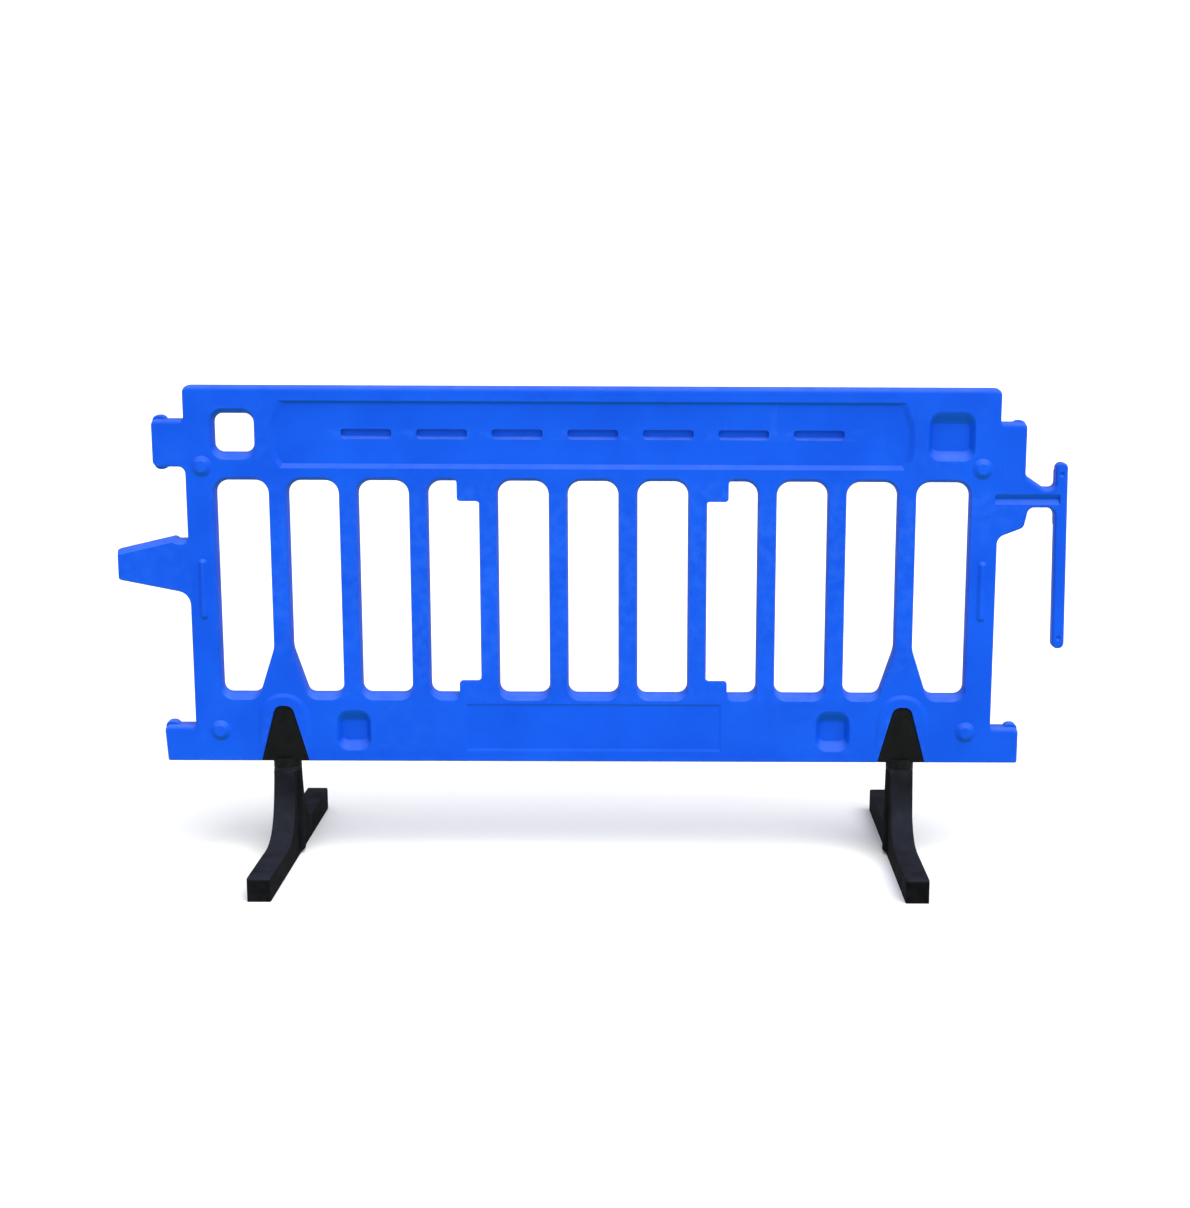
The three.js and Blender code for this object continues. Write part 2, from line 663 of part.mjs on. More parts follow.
// A foot's side view: a flat sole, blunt toes, and a web that sweeps up to the post's top.
function footProfile() {
  const { half, toe, top, neck, bevel, round } = FOOT;
  const [[far, farZ], [middle, middleZ], [near, nearZ]] = SWEEP;
  const shape = new THREE.Shape();
  shape.moveTo(-half, bevel);
  shape.lineTo(-half + bevel, 0);
  shape.lineTo(half - bevel, 0);
  shape.lineTo(half, bevel);
  shape.lineTo(half, toe - round);
  shape.quadraticCurveTo(half, toe, half - round, toe);
  shape.lineTo(far, farZ);
  shape.bezierCurveTo(middle, middleZ, near, nearZ, neck, top);
  shape.lineTo(-neck, top);
  shape.bezierCurveTo(-near, nearZ, -middle, middleZ, -far, farZ);
  shape.lineTo(-half + round, toe);
  shape.quadraticCurveTo(-half, toe, -half, toe - round);
  return shape;
}

// The shape lies in the YZ plane and is extruded along X, with rounded long edges.
function foot(x) {
  const { bevel } = FOOT;
  const web = new THREE.ExtrudeGeometry(footProfile(), {
    depth: FOOT.width - 2 * bevel,
    bevelThickness: bevel,
    bevelSize: bevel,
    bevelOffset: -bevel,
    bevelSegments: 2,
    curveSegments: 8,
  });
  web.translate(0, 0, -(FOOT.width / 2 - bevel));
  web.applyMatrix4(new THREE.Matrix4().set(0, 0, 1, x, 1, 0, 0, 0, 0, 1, 0, 0, 0, 0, 0, 1));
  const { top } = FOOT;
  const { from, under, edge } = POST;
  const post = turned(x, [
    [0, from],
    [POST.bottom - under, from],
    [POST.bottom, from + under],
    [POST.top, top - edge],
    [POST.top - edge, top],
    [0, top],
  ]);
  const shoulder = BOLT.head + BOLT.headHeight + PLATE.height + GAP;
  return cut(
    join(solid(web), post),
    rod(x, COUNTERBORE, -OVER, shoulder + GAP),
    rod(x, BUSH.outer + GAP, shoulder - OVER, top + OVER),
  );
}

function pivotBolt(x) {
  const head = hexagon(x, BOLT.flats, BOLT.head, BOLT.head + BOLT.headHeight);
  const shank = turned(x, [
    [0, BOLT.head + OVER],
    [BOLT.r, BOLT.head + OVER],
    [BOLT.r, boltTop - BOLT.tip],
    [BOLT.r - BOLT.tip, boltTop],
    [0, boltTop],
  ]);
  return join(head, shank);
}

function lockNut(x) {
  const { bottom, height, collar, shoulder } = NUT;
  const top = bottom + height;
  const body = hexagon(x, BOLT.flats, bottom + GAP, top - collar);
  const ring = rod(x, BOLT.flats / 2 - shoulder, top - collar - OVER, top);
  return cut(join(body, ring), rod(x, BOLT.r + GAP / 2, bottom - OVER, top + OVER));
}

const plateBottom = BOLT.head + BOLT.headHeight + GAP;

// ---------------------------------------------------------------- the assembly

const barrier = new THREE.Group();
barrier.add(named("barrier_panel", panel(), MATERIALS.panel));

for (const [side, x] of [
  ["left", -FOOT_X],
  ["right", FOOT_X],
]) {
  const plateTop = plateBottom + PLATE.height;
  const bush = tube(x, BUSH.inner, BUSH.outer, plateTop + GAP, FOOT.top);
  const pieces = new THREE.Group();
  pieces.add(
    named(`${side}_foot_socket`, footSocket(x), MATERIALS.socket),
    named(`${side}_foot`, foot(x), MATERIALS.rubber),
    named(`${side}_pivot_bolt`, pivotBolt(x), MATERIALS.steel),
    named(`${side}_head_washer`, tube(x, BUSH.inner, PLATE.r, plateBottom, plateTop), MATERIALS.steel),
    named(`${side}_pivot_bush`, bush, MATERIALS.nylon),
    named(
      `${side}_thrust_washer`,
      tube(x, BUSH.inner, WASHER.r, FOOT.top + GAP, WASHER.top),
      MATERIALS.nylon,
    ),
    named(`${side}_lock_nut`, lockNut(x), MATERIALS.steel),
  );
  barrier.add(pieces);
}

export default barrier;
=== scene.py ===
"""Looks for the crowd barrier: a finely rounded panel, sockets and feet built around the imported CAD
frame, with procedural plastic, rubber and steel. Lengths named here are in millimetres, in the
frame's own axes; meshes are written in metres.

A profile is a list of (y, share, extra) steps from the front face to the back: at y, each side of
an outline has moved outwards by share times what that kind of side moves, plus extra. Profiles
named here count y from a face, a floor or a top."""

import json
import math

import bmesh
import bpy
from mathutils import Euler, Matrix, Vector


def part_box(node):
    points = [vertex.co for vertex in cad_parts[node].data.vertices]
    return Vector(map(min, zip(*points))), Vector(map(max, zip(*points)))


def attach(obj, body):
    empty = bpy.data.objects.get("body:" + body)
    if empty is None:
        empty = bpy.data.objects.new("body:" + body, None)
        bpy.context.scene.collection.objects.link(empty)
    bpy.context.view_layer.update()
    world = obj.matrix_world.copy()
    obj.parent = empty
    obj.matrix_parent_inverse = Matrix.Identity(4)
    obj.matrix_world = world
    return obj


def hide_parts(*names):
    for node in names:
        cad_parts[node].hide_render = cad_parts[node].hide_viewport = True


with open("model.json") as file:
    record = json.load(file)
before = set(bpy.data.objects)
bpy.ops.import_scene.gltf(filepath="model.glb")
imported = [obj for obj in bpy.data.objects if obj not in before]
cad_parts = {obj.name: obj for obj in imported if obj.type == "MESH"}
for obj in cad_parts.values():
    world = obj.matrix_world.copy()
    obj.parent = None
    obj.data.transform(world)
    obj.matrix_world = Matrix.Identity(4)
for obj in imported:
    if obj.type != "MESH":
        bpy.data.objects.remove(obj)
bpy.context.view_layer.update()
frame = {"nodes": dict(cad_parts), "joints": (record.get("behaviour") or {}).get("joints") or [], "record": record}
MM = 0.001
scene = bpy.context.scene
scene.view_settings.view_transform = "Standard"

# ---------------------------------------------------------------- driving dimensions

LOW, HIGH = (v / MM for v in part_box("barrier_panel"))
HALF_LENGTH = -LOW.x
HEIGHT = HIGH.z
PANEL_Z = LOW.z
FACE = HIGH.y
FOOT_X = max(joint["pos_m"][0] for joint in frame["joints"]) / MM

# the panel's edges, its mould's parting line, and what its outlines share
PANEL_X = 839
EDGE_DEPTH, EDGE_TOP, EDGE_SIDE, EDGE_UNDER = 10, 13, 5, 4
SEAM, SEAM_CREST, SEAM_FOOT = 0.5, 0.5, 1.6  # height of the mould's parting line, and half widths
CLEAR, PAST = 10, 1  # how far a cutter starts in front of the face, and ends behind the back
TIGHT, SHARP, ROUND, BLUNT = 1, 5, 12, 14  # radii of the outline's corners
LEAST_R = 0.5  # no corner gets tighter than this as its sides move
STEEP = 0.6  # a side whose normal rises or falls more than this is a head or a sill

# bars and windows, with the two square plates at the inner bars
BAR_COUNT, BAR_PITCH, BAR_HALF = 10, 144.5, 19.7
POST_INNER = 780
WINDOW_BOTTOM, WINDOW_TOP = 353, 801.5
WINDOW_LOW_R, WINDOW_HIGH_R = 20, 28
WIDE_TOP, WIDE_HALF, WIDE_R, WIDE_BLEND = 449, 51, 20, 60
NOTCH_X, NOTCH_BOTTOM, NOTCH_TOP, NOTCH_R, NOTCH_PLATE = 280.5, 381.5, 761, 7, 8
FLARE_HEAD, FLARE_SILL, FLARE_JAMB = 7.5, 14.5, 3
FLARE_LIP = ((0, 1.04), (0.3, 0.99), (1, 0.92))
FLARE_KNEE = ((7.2, 0.415), (NOTCH_PLATE, 0.35), (9, 0.295))
FLARE_THROAT = ((15.4, 0.035), (17, 0))
THROAT_SEAM = 0.3

# recesses: the dished band and its slots, the label, the hand hole and the pockets
BAND_BOTTOM, BAND_TOP, BAND_CORNER, BAND_BULGE, BAND_R = 828, 966, 642, 661, 4
BAND_DEPTH, BAND_HEAD, BAND_SILL, BAND_END = 6.5, 5, 9, 11
BAND_LIP = ((0, 0, 1.4), (0.3, 0, 0.5), (1, -0.1))
BAND_FLOOR = ((-1, -0.9), (-0.3, -0.97, -0.4), (0, -1, -1.5))
BULGE_LOW, BULGE_HIGH, BULGE_R = 25, 48, 50
DISH_DEPTH, DISH_SLOPE, DISH_MARGIN, DISH_R, DISH_STEPS = 2.5, 44, 2, 5, 6
SLOT_COUNT, SLOT_PITCH, SLOT_LENGTH, SLOT_Z, SLOT_WIDTH, SLOT_R = 7, 155.2, 102, 900.5, 15, 6
SLOT_WEB, SLOT_LIP, SLOT_END = 3, 5, 1
SLOT_MOUTH = ((-0.2, 1, 0.8), (0.3, 0.95, 0.2), (0.9, 0.85))
SLOT_FLOOR = ((-0.8, 0.1), (-0.2, 0, -0.4), (0, 0, -1.4))
LABEL_X, LABEL_BOTTOM, LABEL_TOP, LABEL_R = 269.5, 228.5, 332, 2
LABEL_DEPTH, LABEL_HEAD, LABEL_SILL, LABEL_END = 2.4, 4, 7, 5
LABEL_RIM, LABEL_WALL, LABEL_FLOOR = 0.5, (0.1, 0.5, 0.9), -0.8
HAND_HOLE = (-779, -696.5, 859.5, 939)
HAND_R, HAND_HEAD, HAND_SILL, HAND_JAMB = 19, 11, 15, 5
TOP_POCKET = (690, 786, 846, 949)
RAIL_POCKETS = ((469, 541, 229, 318), (-541, -469, 229, 318))
POCKET_DEPTH, POCKET_R, POCKET_HEAD, POCKET_SILL, POCKET_END = 17, 26, 28, 22, 11
POCKET_RIM, POCKET_STEPS = 0.05, 12

# bosses and ribs, and the hollows behind that they stack into
BOSSES = ((-803, 831), (803, 831), (-785, 273), (785, 273))
BOSS_BASE, BOSS_TOP, BOSS_HEIGHT = 21.5, 12, 8
RIB_X, RIB_BOTTOM, RIB_TOP, RIB_HALF, RIB_CREST, RIB_HEIGHT, RIB_R = 809, 511, 638, 9.5, 3.5, 6, 9
STACK_CROWN, STACK_FOOT = ((0, -2), (0.3, -0.8)), ((-0.3, 0.3), (0, 1.3), (PAST, 1.4))
STACK_ROUND, STACK_HIGH, STACK_LOW = 1.1, 0.93, 0.12  # where a side leaves its crown and its foot
HOLLOW_FLOOR = ((-0.5, -1.5), (0.3, 0.3))
HOLLOW_RIM = ((-1, 0.2), (-0.3, 0.8), (0, 1.8), (PAST, 1.8))

# the ends: tabs and their knuckles, the tongue, and the hook with its arm
TAB, TAB_LEAN, LOW_END = 905, 5, 898
UPPER_BOTTOM, UPPER_TOP, RIGHT_TOP, RIGHT_END, LOW_TAB = 829, 927, 927, 893, 283
KNUCKLE_LENGTH, KNUCKLE_RISE, KNUCKLE_DROP, KNUCKLE_HALF, KNUCKLE_INSET = 31, 8, 6, 11, 1
KNUCKLE_R, KNUCKLE_ROOT, KNUCKLE_DEPTH, KNUCKLE_ROUND = 13, 40, 5, 4
TIP_LOW, TIP_HIGH, TIP_LOW_R, TIP_HIGH_R, ROOT_LOW, ROOT_HIGH = 592, 656, 6, 3, 563, 679
TONGUE_LOW_R, TONGUE_HIGH_R, TONGUE_UPPER, TONGUE_LOWER, TONGUE_END = 30, 8, 11, 5, 2
TONGUE_BEVEL = ((0, -1.04), (0.4, -0.94), (8.5, -0.17), (9.6, -0.1), (13, 0))
STEP_X, STEP_RISE, STEP_RUN = 869, 5, 9
TONGUE_INSIDE, TONGUE_SPREAD = 30, 45
ARM_BOTTOM, ARM_TOP, ARM_END, ARM_LOW_R, ARM_HIGH_R = 751, 792.5, 974, 18, 12
SHOULDER, SHOULDER_TOP, SHOULDER_FOOT = 893, 818, 931
CHIN, CHIN_LEAN, CHIN_ROOT, CHIN_R = 709, 9, 688, 20
HOOK_BOTTOM, HOOK_TOP, HOOK_WIDTH, HOOK_LEAN, HOOK_BACK, HOOK_R = 454, 845, 25.3, 7, 8, 12
HOOK_DEPTH, HOOK_ROUND = 7, 5
TAPER_FROM, TAPER_TO, TAPER_BEYOND, TAPER_BELOW = 905, 950, 20, 60
GROOVE_X0, GROOVE_X1, GROOVE_Z, GROOVE_HALF, GROOVE_DEPTH, GROOVE_R = 831, 965, 768.5, 11, 7, 2
GROOVE_SLOPE, GROOVE_END = 10.5, 1
GROOVE_LIP, GROOVE_FLOOR = ((0, 0, 0.6), (0.6, -0.06)), ((-0.6, -0.9), (0, -1))
DIMPLE_LOW, DIMPLE_HIGH, DIMPLE_R = 23, 24, 5
DIMPLE_WALL = ((0, 0.6), (1, -0.6), (2.5, -2), (3, -3.5))

# sockets, and the swellings of the panel round them
GAP = 0.3  # between pieces that touch
SOCKET_HALF, SOCKET_TOP, SOCKET_HALF_TOP, SOCKET_R = 50, 326, 17, 17
SOCKET_LIFT, SOCKET_CUT, SOCKET_BORE_R, SOCKET_BORE = 1.5, 2, 8.3, 69
SOCKET_EDGE = ((0, 0, -1.6), (0.25, 0, -0.9), (0.8, 0, -0.3), (1.6, 0))
CAVITY_LIP = ((0, 1), (0.4, 0.4), (1.2, 0))
KEY_RISE, KEY_CREST, KEY_FOOT = 3, 3, 6
RING_ROOT, RING_EDGE = 8, 0.8
PAD_HALF, PAD_BOTTOM, PAD_TOP, PAD_HEIGHT, PAD_R = 55, 225, 353, 4.5, 54
PAD_HEAD, PAD_SILL, PAD_END = 7, 70, 9
PAD_CROWN = ((0, -1, -3), (0.25, -1, -1), (0.9, -0.86))
PAD_FOOT = ((-0.8, -0.12), (-0.2, 0, 0.8), (0, 0, 2.2), (PAST, 0, 2.2))

# feet, from the side and across, and the posts that carry them
FOOT_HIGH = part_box("left_foot")[1] / MM
FOOT_HALF, FOOT_TOP = FOOT_HIGH.y, FOOT_HIGH.z
FOOT_WIDTH, FOOT_TOE, FOOT_NECK = 46.5, 50, 34
FOOT_EDGE, FOOT_EDGE_STEPS = 3.5, 5
SOLE_EDGE, SOLE_SOFT = 3, 0.9
TOE_ROUND, TOE_SOFT, TOE_STEPS = 7, 2, 6
TOE_FALL = ((FOOT_HALF - 60, 0.2), (200, 0.6))
SWEEP_FOOT, SWEEP_OUT, SWEEP_UP, SWEEP_STEPS = (150, FOOT_TOE - 1), (70, FOOT_TOE - 2), (48, 95), 28
POST_TOP_R, POST_BOTTOM_R, POST_FROM = 29, 32, 6
POST_ROOT = ((3, 0), (0.9, 1.2), (0, 4))  # (inset, rise)
POST_CROWN = ((0, 4.2), (0.6, 2.4), (1.7, 1), (3.4, 0))  # (inset, drop)
COUNTERBORE_R, BORE_R, SHOULDER_Z = 17.5, 12.3, 113.3
WASHER_BORE_R, WASHER_EDGE = 8.5, 0.5

CORNER_STEPS, ROUNDING_STEPS, ROUND_SIDES = 8, 6, 64
SOFTEN = 0.3  # how far a rod's rounded edge stands off its corner, as a share of its size
MERGE = 0.00002  # metres
SHARP_DEGREES, FOOT_SHARP_DEGREES, FLAT_WEIGHT = 38, 30, 80
SHADE = 0.74  # takes colours down to suit the studio's strong light

# ---------------------------------------------------------------- outlines and lofts


def outline(corners, grow, steps):
    """The rounded outline of (x, z, radius) corners, anticlockwise from the front. Each side first
    moves outwards by grow(nx, nz) for its outward normal, unless its corner has a fourth value."""
    count = len(corners)
    sides = []
    for i, (x, z, _, *fixed) in enumerate(corners):
        nx, nz = corners[(i + 1) % count][:2]
        length = math.hypot(nx - x, nz - z)
        ax, az = (nx - x) / length, (nz - z) / length
        offset = 0 if fixed else grow(az, -ax)
        sides.append((x + az * offset, z - ax * offset, ax, az, offset))
    points = []
    for i, (x, z, ax, az, offset) in enumerate(sides):
        bx, bz, cx, cz, before = sides[i - 1]
        turn = cx * az - cz * ax
        reach = ((x - bx) * az - (z - bz) * ax) / turn
        corner_x, corner_z = bx + cx * reach, bz + cz * reach
        hand = math.copysign(1, turn)
        radius = max(corners[i][2] + hand * (offset + before) / 2, LEAST_R)
        bend = math.acos(max(-1, min(1, cx * ax + cz * az)))
        back = radius * math.tan(bend / 2)
        centre_x = corner_x - cx * back - cz * radius * hand
        centre_z = corner_z - cz * back + cx * radius * hand
        start = math.atan2(-cx * hand, cz * hand)
        for k in range(steps + 1):
            at = start + hand * bend * k / steps
            points.append((centre_x + radius * math.cos(at), centre_z + radius * math.sin(at)))
    return points


def evenly(nx, nz):
    """Every side moves alike."""
    return 1


def loft(corners, profile, side=evenly):
    """(vertices, faces) of a closed solid that holds the outline at each step of the profile:
    each side has moved outwards by share * side(normal) + extra."""
    rings = []
    for y, share, *extra in profile:
        add = extra[0] if extra else 0
        ring = outline(corners, lambda nx, nz: share * side(nx, nz) + add, CORNER_STEPS)
        rings.append([(x, y, z) for x, z in ring])
    size = len(rings[0])
    faces = []
    for r in range(len(rings) - 1):
        for i in range(size):
            a, b = r * size + i, r * size + (i + 1) % size
            faces.append((a, a + size, b + size, b))
    last = (len(rings) - 1) * size
    faces.append(tuple(range(size)))
    faces.append(tuple(reversed(range(last, last + size))))
    return [v for ring in rings for v in ring], faces


def from_y(y, steps):
    """Profile steps whose depths are counted from y."""
    return [(y + depth, *rest) for depth, *rest in steps]


def from_back(profile):
    """The same profile seen from the back face."""
    return [(-y, *rest) for y, *rest in reversed(profile)]


def rectangle(x0, x1, bottom, top, low, high=None):
    high = low if high is None else high
    return [(x0, bottom, low), (x1, bottom, low), (x1, top, high), (x0, top, high)]


def disc(x, z, r):
    return rectangle(x - r, x + r, z - r, z + r, r)


def mirrored(corners):
    """The outline mirrored in x. Reversing it moves each side's fixed mark to its other end."""
    made = [(-x, z, r, *corners[i - 1][3:]) for i, (x, z, r, *_) in enumerate(corners)]
    return made[::-1]


def quarter_round(half, depth, at_face, steps=ROUNDING_STEPS):
    """Steps of a quarter round from a face at y = -half to the side, depth further in."""
    made = []
    for k in range(steps + 1):
        angle = k / steps * math.pi / 2
        made.append((-half + depth * (1 - math.cos(angle)), at_face * (1 - math.sin(angle))))
    return made


def through(front, seam=0.0):
    """A front profile carried through to the back, with the mould's seam round the middle."""
    half = [(-SEAM_FOOT, 0, 0), (-SEAM_CREST, 0, seam)] if seam else []
    return [*front, *half, *from_back(half), *from_back(front)]


def is_sill(nz):
    return nz < -STEEP


def is_head(nz):
    return nz > STEEP


def by_side(head, sill, end):
    """How far each kind of side moves: a head faces down into an opening, a sill faces up."""
    return lambda nx, nz: head if is_head(nz) else sill if is_sill(nz) else end


# ---------------------------------------------------------------- mesh objects


def new_object(name, *shells):
    """One mesh object from shells of (vertices in mm, faces)."""
    mesh = bpy.data.meshes.new(name)
    points, faces = [], []
    for vertices, polygons in shells:
        base = len(points)
        points += [Vector(v) * MM for v in vertices]
        faces += [tuple(base + i for i in polygon) for polygon in polygons]
    mesh.from_pydata(points, [], faces)
    mesh.validate()
    made = bpy.data.objects.new(name, mesh)
    scene.collection.objects.link(made)
    return made


def boolean(target, operation, *shells):
    """Joins shells to the target, or cuts them from it."""
    tool = new_object("tool", *shells)
    modifier = target.modifiers.new("boolean", "BOOLEAN")
    modifier.object = tool
    modifier.operation = operation
    modifier.solver = "MANIFOLD"
    keep_modifiers(target)
    bpy.data.objects.remove(tool)


def keep_modifiers(target):
    """Writes the target's modifiers into its mesh."""
    graph = bpy.context.evaluated_depsgraph_get()
    made = bpy.data.meshes.new_from_object(target.evaluated_get(graph))
    target.modifiers.clear()
    old = target.data
    target.data = made
    bpy.data.meshes.remove(old)


def finish_surface(piece, material, sharp=SHARP_DEGREES):
    """Merges doubles, shades smooth between faces that turn less than sharp degrees, and lets the
    large flat faces set the normals."""
    work = bmesh.new()
    work.from_mesh(piece.data)
    bmesh.ops.remove_doubles(work, verts=work.verts, dist=MERGE)
    bmesh.ops.dissolve_degenerate(work, edges=work.edges, dist=MERGE)
    for face in work.faces:
        face.smooth = True
    for edge in work.edges:
        if len(edge.link_faces) == 2:
            edge.smooth = edge.calc_face_angle(0) < math.radians(sharp)
    work.to_mesh(piece.data)
    work.free()
    piece.data.materials.clear()
    piece.data.materials.append(material)
    weighted = piece.modifiers.new("normals", "WEIGHTED_NORMAL")
    weighted.keep_sharp = True
    weighted.weight = FLAT_WEIGHT
    return piece


# ---------------------------------------------------------------- the panel


def hook_inner(z):
    """The hook's bar leans a little towards the panel at its top."""
    return HALF_LENGTH - HOOK_WIDTH - HOOK_LEAN * (z - HOOK_BOTTOM) / (HOOK_TOP - HOOK_BOTTOM)


def panel_outline():
    """The panel without its tongue: tabs at its corners and the hook's arm on the right."""
    low, high = ARM_BOTTOM - 2 * ARM_LOW_R, ARM_TOP + 3 * ARM_HIGH_R
    return [
        (-TAB + TAB_LEAN, PANEL_Z, SHARP), (LOW_END, PANEL_Z, SHARP), (LOW_END, LOW_TAB, ROUND),
        (PANEL_X, LOW_TAB, SHARP), (PANEL_X, CHIN_ROOT, CHIN_R), (SHOULDER, CHIN, BLUNT),
        (SHOULDER + CHIN_LEAN, ARM_BOTTOM, BLUNT), (hook_inner(ARM_BOTTOM), ARM_BOTTOM, ARM_LOW_R),
        (hook_inner(low), low, TIGHT), (ARM_END, low, TIGHT), (ARM_END, high, TIGHT),
        (hook_inner(high), high, TIGHT), (hook_inner(ARM_TOP), ARM_TOP, ARM_HIGH_R),
        (SHOULDER_FOOT, ARM_TOP, ROUND), (SHOULDER, SHOULDER_TOP, ROUND),
        (RIGHT_END, RIGHT_TOP, ROUND), (PANEL_X, RIGHT_TOP, SHARP), (PANEL_X, HEIGHT, BLUNT),
        (-PANEL_X, HEIGHT, BLUNT), (-PANEL_X, UPPER_TOP, SHARP), (-TAB, UPPER_TOP, ROUND),
        (-TAB, UPPER_BOTTOM, ROUND), (-PANEL_X, UPPER_BOTTOM, BLUNT), (-PANEL_X, LOW_TAB, SHARP),
        (-TAB, LOW_TAB, ROUND),
    ]


def hook_bar():
    corners = [(hook_inner(HOOK_BOTTOM), HOOK_BOTTOM, HOOK_R), (HALF_LENGTH, HOOK_BOTTOM, HOOK_R),
               (HALF_LENGTH - HOOK_LEAN, HOOK_TOP, HOOK_R), (hook_inner(HOOK_TOP), HOOK_TOP, HOOK_R)]
    front = quarter_round(FACE, HOOK_DEPTH, -HOOK_ROUND)
    rear = [(HOOK_BACK - FACE - y, share) for y, share in reversed(front)]
    return loft(corners, [*front, *rear])


def knuckles():
    """Ridges along the middle of the tabs' thickness, at their outer ends."""
    def above(x0, x1, z, rise):
        return rectangle(x0, x1, z - KNUCKLE_ROOT, z + rise, SHARP, KNUCKLE_R)

    length, inset, left = KNUCKLE_LENGTH, KNUCKLE_INSET, -TAB
    shapes = [
        above(left + inset, left + length, UPPER_TOP, KNUCKLE_RISE),
        above(left + inset, left + length, LOW_TAB, KNUCKLE_RISE),
        above(LOW_END - length, LOW_END - inset, LOW_TAB, KNUCKLE_RISE),
        above(RIGHT_END - length, RIGHT_END - inset, RIGHT_TOP, KNUCKLE_RISE / 2),
        rectangle(left + inset, left + length, UPPER_BOTTOM - KNUCKLE_DROP,
                  UPPER_BOTTOM + KNUCKLE_ROOT, KNUCKLE_R, SHARP),
    ]
    profile = through(quarter_round(KNUCKLE_HALF, KNUCKLE_DEPTH, -KNUCKLE_ROUND))
    return [loft(corners, profile) for corners in shapes]


def tongue_outline():
    """The tongue tapers to its tip and runs into the panel's end in fillets."""
    inside = PANEL_X - TONGUE_INSIDE
    low, high = ROOT_LOW - TONGUE_SPREAD, ROOT_HIGH + TONGUE_SPREAD
    return [
        (-HALF_LENGTH, TIP_LOW, TIP_LOW_R), (-PANEL_X, ROOT_LOW, TONGUE_LOW_R), (-PANEL_X, low, TIGHT),
        (-inside, low, TIGHT), (-inside, high, TIGHT), (-PANEL_X, high, TIGHT),
        (-PANEL_X, ROOT_HIGH, TONGUE_HIGH_R), (-STEP_X + STEP_RUN, ROOT_HIGH, SHARP),
        (-STEP_X, ROOT_HIGH + STEP_RISE, SHARP), (-HALF_LENGTH, TIP_HIGH, TIP_HIGH_R),
    ]


def beside_plates(x0, x1):
    """A window around the square plates in its two right-hand corners."""
    return [
        (x0, WINDOW_BOTTOM, WINDOW_LOW_R), (-NOTCH_X, WINDOW_BOTTOM, NOTCH_R, True),
        (-NOTCH_X, NOTCH_BOTTOM, NOTCH_R, True), (x1, NOTCH_BOTTOM, NOTCH_R),
        (x1, NOTCH_TOP, NOTCH_R, True), (-NOTCH_X, NOTCH_TOP, NOTCH_R, True),
        (-NOTCH_X, WINDOW_TOP, NOTCH_R), (x0, WINDOW_TOP, WINDOW_HIGH_R),
    ]


def window_corners(right):
    """The window left of bar number right."""
    def bar(k):
        return (k - (BAR_COUNT - 1) / 2) * BAR_PITCH

    over_foot = (0, BAR_COUNT - 1)
    x0 = -POST_INNER if right == 0 else bar(right - 1) + BAR_HALF
    x1 = POST_INNER if right == BAR_COUNT else bar(right) - BAR_HALF
    low, high = WINDOW_LOW_R, WINDOW_HIGH_R
    if right in over_foot:
        spread = bar(right) - WIDE_HALF
        return [(x0, WINDOW_BOTTOM, low), (spread, WINDOW_BOTTOM, WIDE_R), (x1, WIDE_TOP, WIDE_BLEND),
                (x1, WINDOW_TOP, high), (x0, WINDOW_TOP, high)]
    if right - 1 in over_foot:
        spread = bar(right - 1) + WIDE_HALF
        return [(spread, WINDOW_BOTTOM, WIDE_R), (x1, WINDOW_BOTTOM, low), (x1, WINDOW_TOP, high),
                (x0, WINDOW_TOP, high), (x0, WIDE_TOP, WIDE_BLEND)]
    return rectangle(x0, x1, WINDOW_BOTTOM, WINDOW_TOP, low, high)


def flared():
    """Through the panel, with two soft facets at each face that lead into the opening."""
    front = from_y(-FACE, [*FLARE_LIP, *FLARE_KNEE, *FLARE_THROAT])
    wide = FLARE_LIP[0][1]
    return [(-FACE - CLEAR, wide), *through(front, -THROAT_SEAM), (FACE + PAST, wide)]


def window_cutters():
    """Cutters for the windows, and for the space behind the plates. The second overlap the first."""
    side = by_side(FLARE_HEAD, FLARE_SILL, FLARE_JAMB)
    whole = flared()
    behind = [step for step in whole if step[0] >= -FACE + NOTCH_PLATE]
    openings, spaces = [], []
    for i in range(BAR_COUNT + 1):
        corners = window_corners(i)
        x0, x1 = corners[0][0], corners[1][0]
        around = corners
        if x0 < -NOTCH_X < x1:
            around = beside_plates(x0, x1)
        elif x0 < NOTCH_X < x1:
            around = mirrored(beside_plates(-x1, -x0))
        openings.append(loft(around, whole, side))
        if around is not corners:
            spaces.append(loft(corners, behind, side))
    return openings, spaces


def both_faces(corners, profile, side=evenly):
    return [loft(corners, profile, side), loft(corners, from_back(profile), side)]


def hand_hole_cutter():
    return loft(rectangle(*HAND_HOLE, HAND_R), flared(), by_side(HAND_HEAD, HAND_SILL, HAND_JAMB))


def from_outside(mouth):
    """Profile steps counted from the front face, which start clear of it."""
    _, *wide = mouth[0]
    return [(-FACE - CLEAR, *wide), *from_y(-FACE, mouth)]


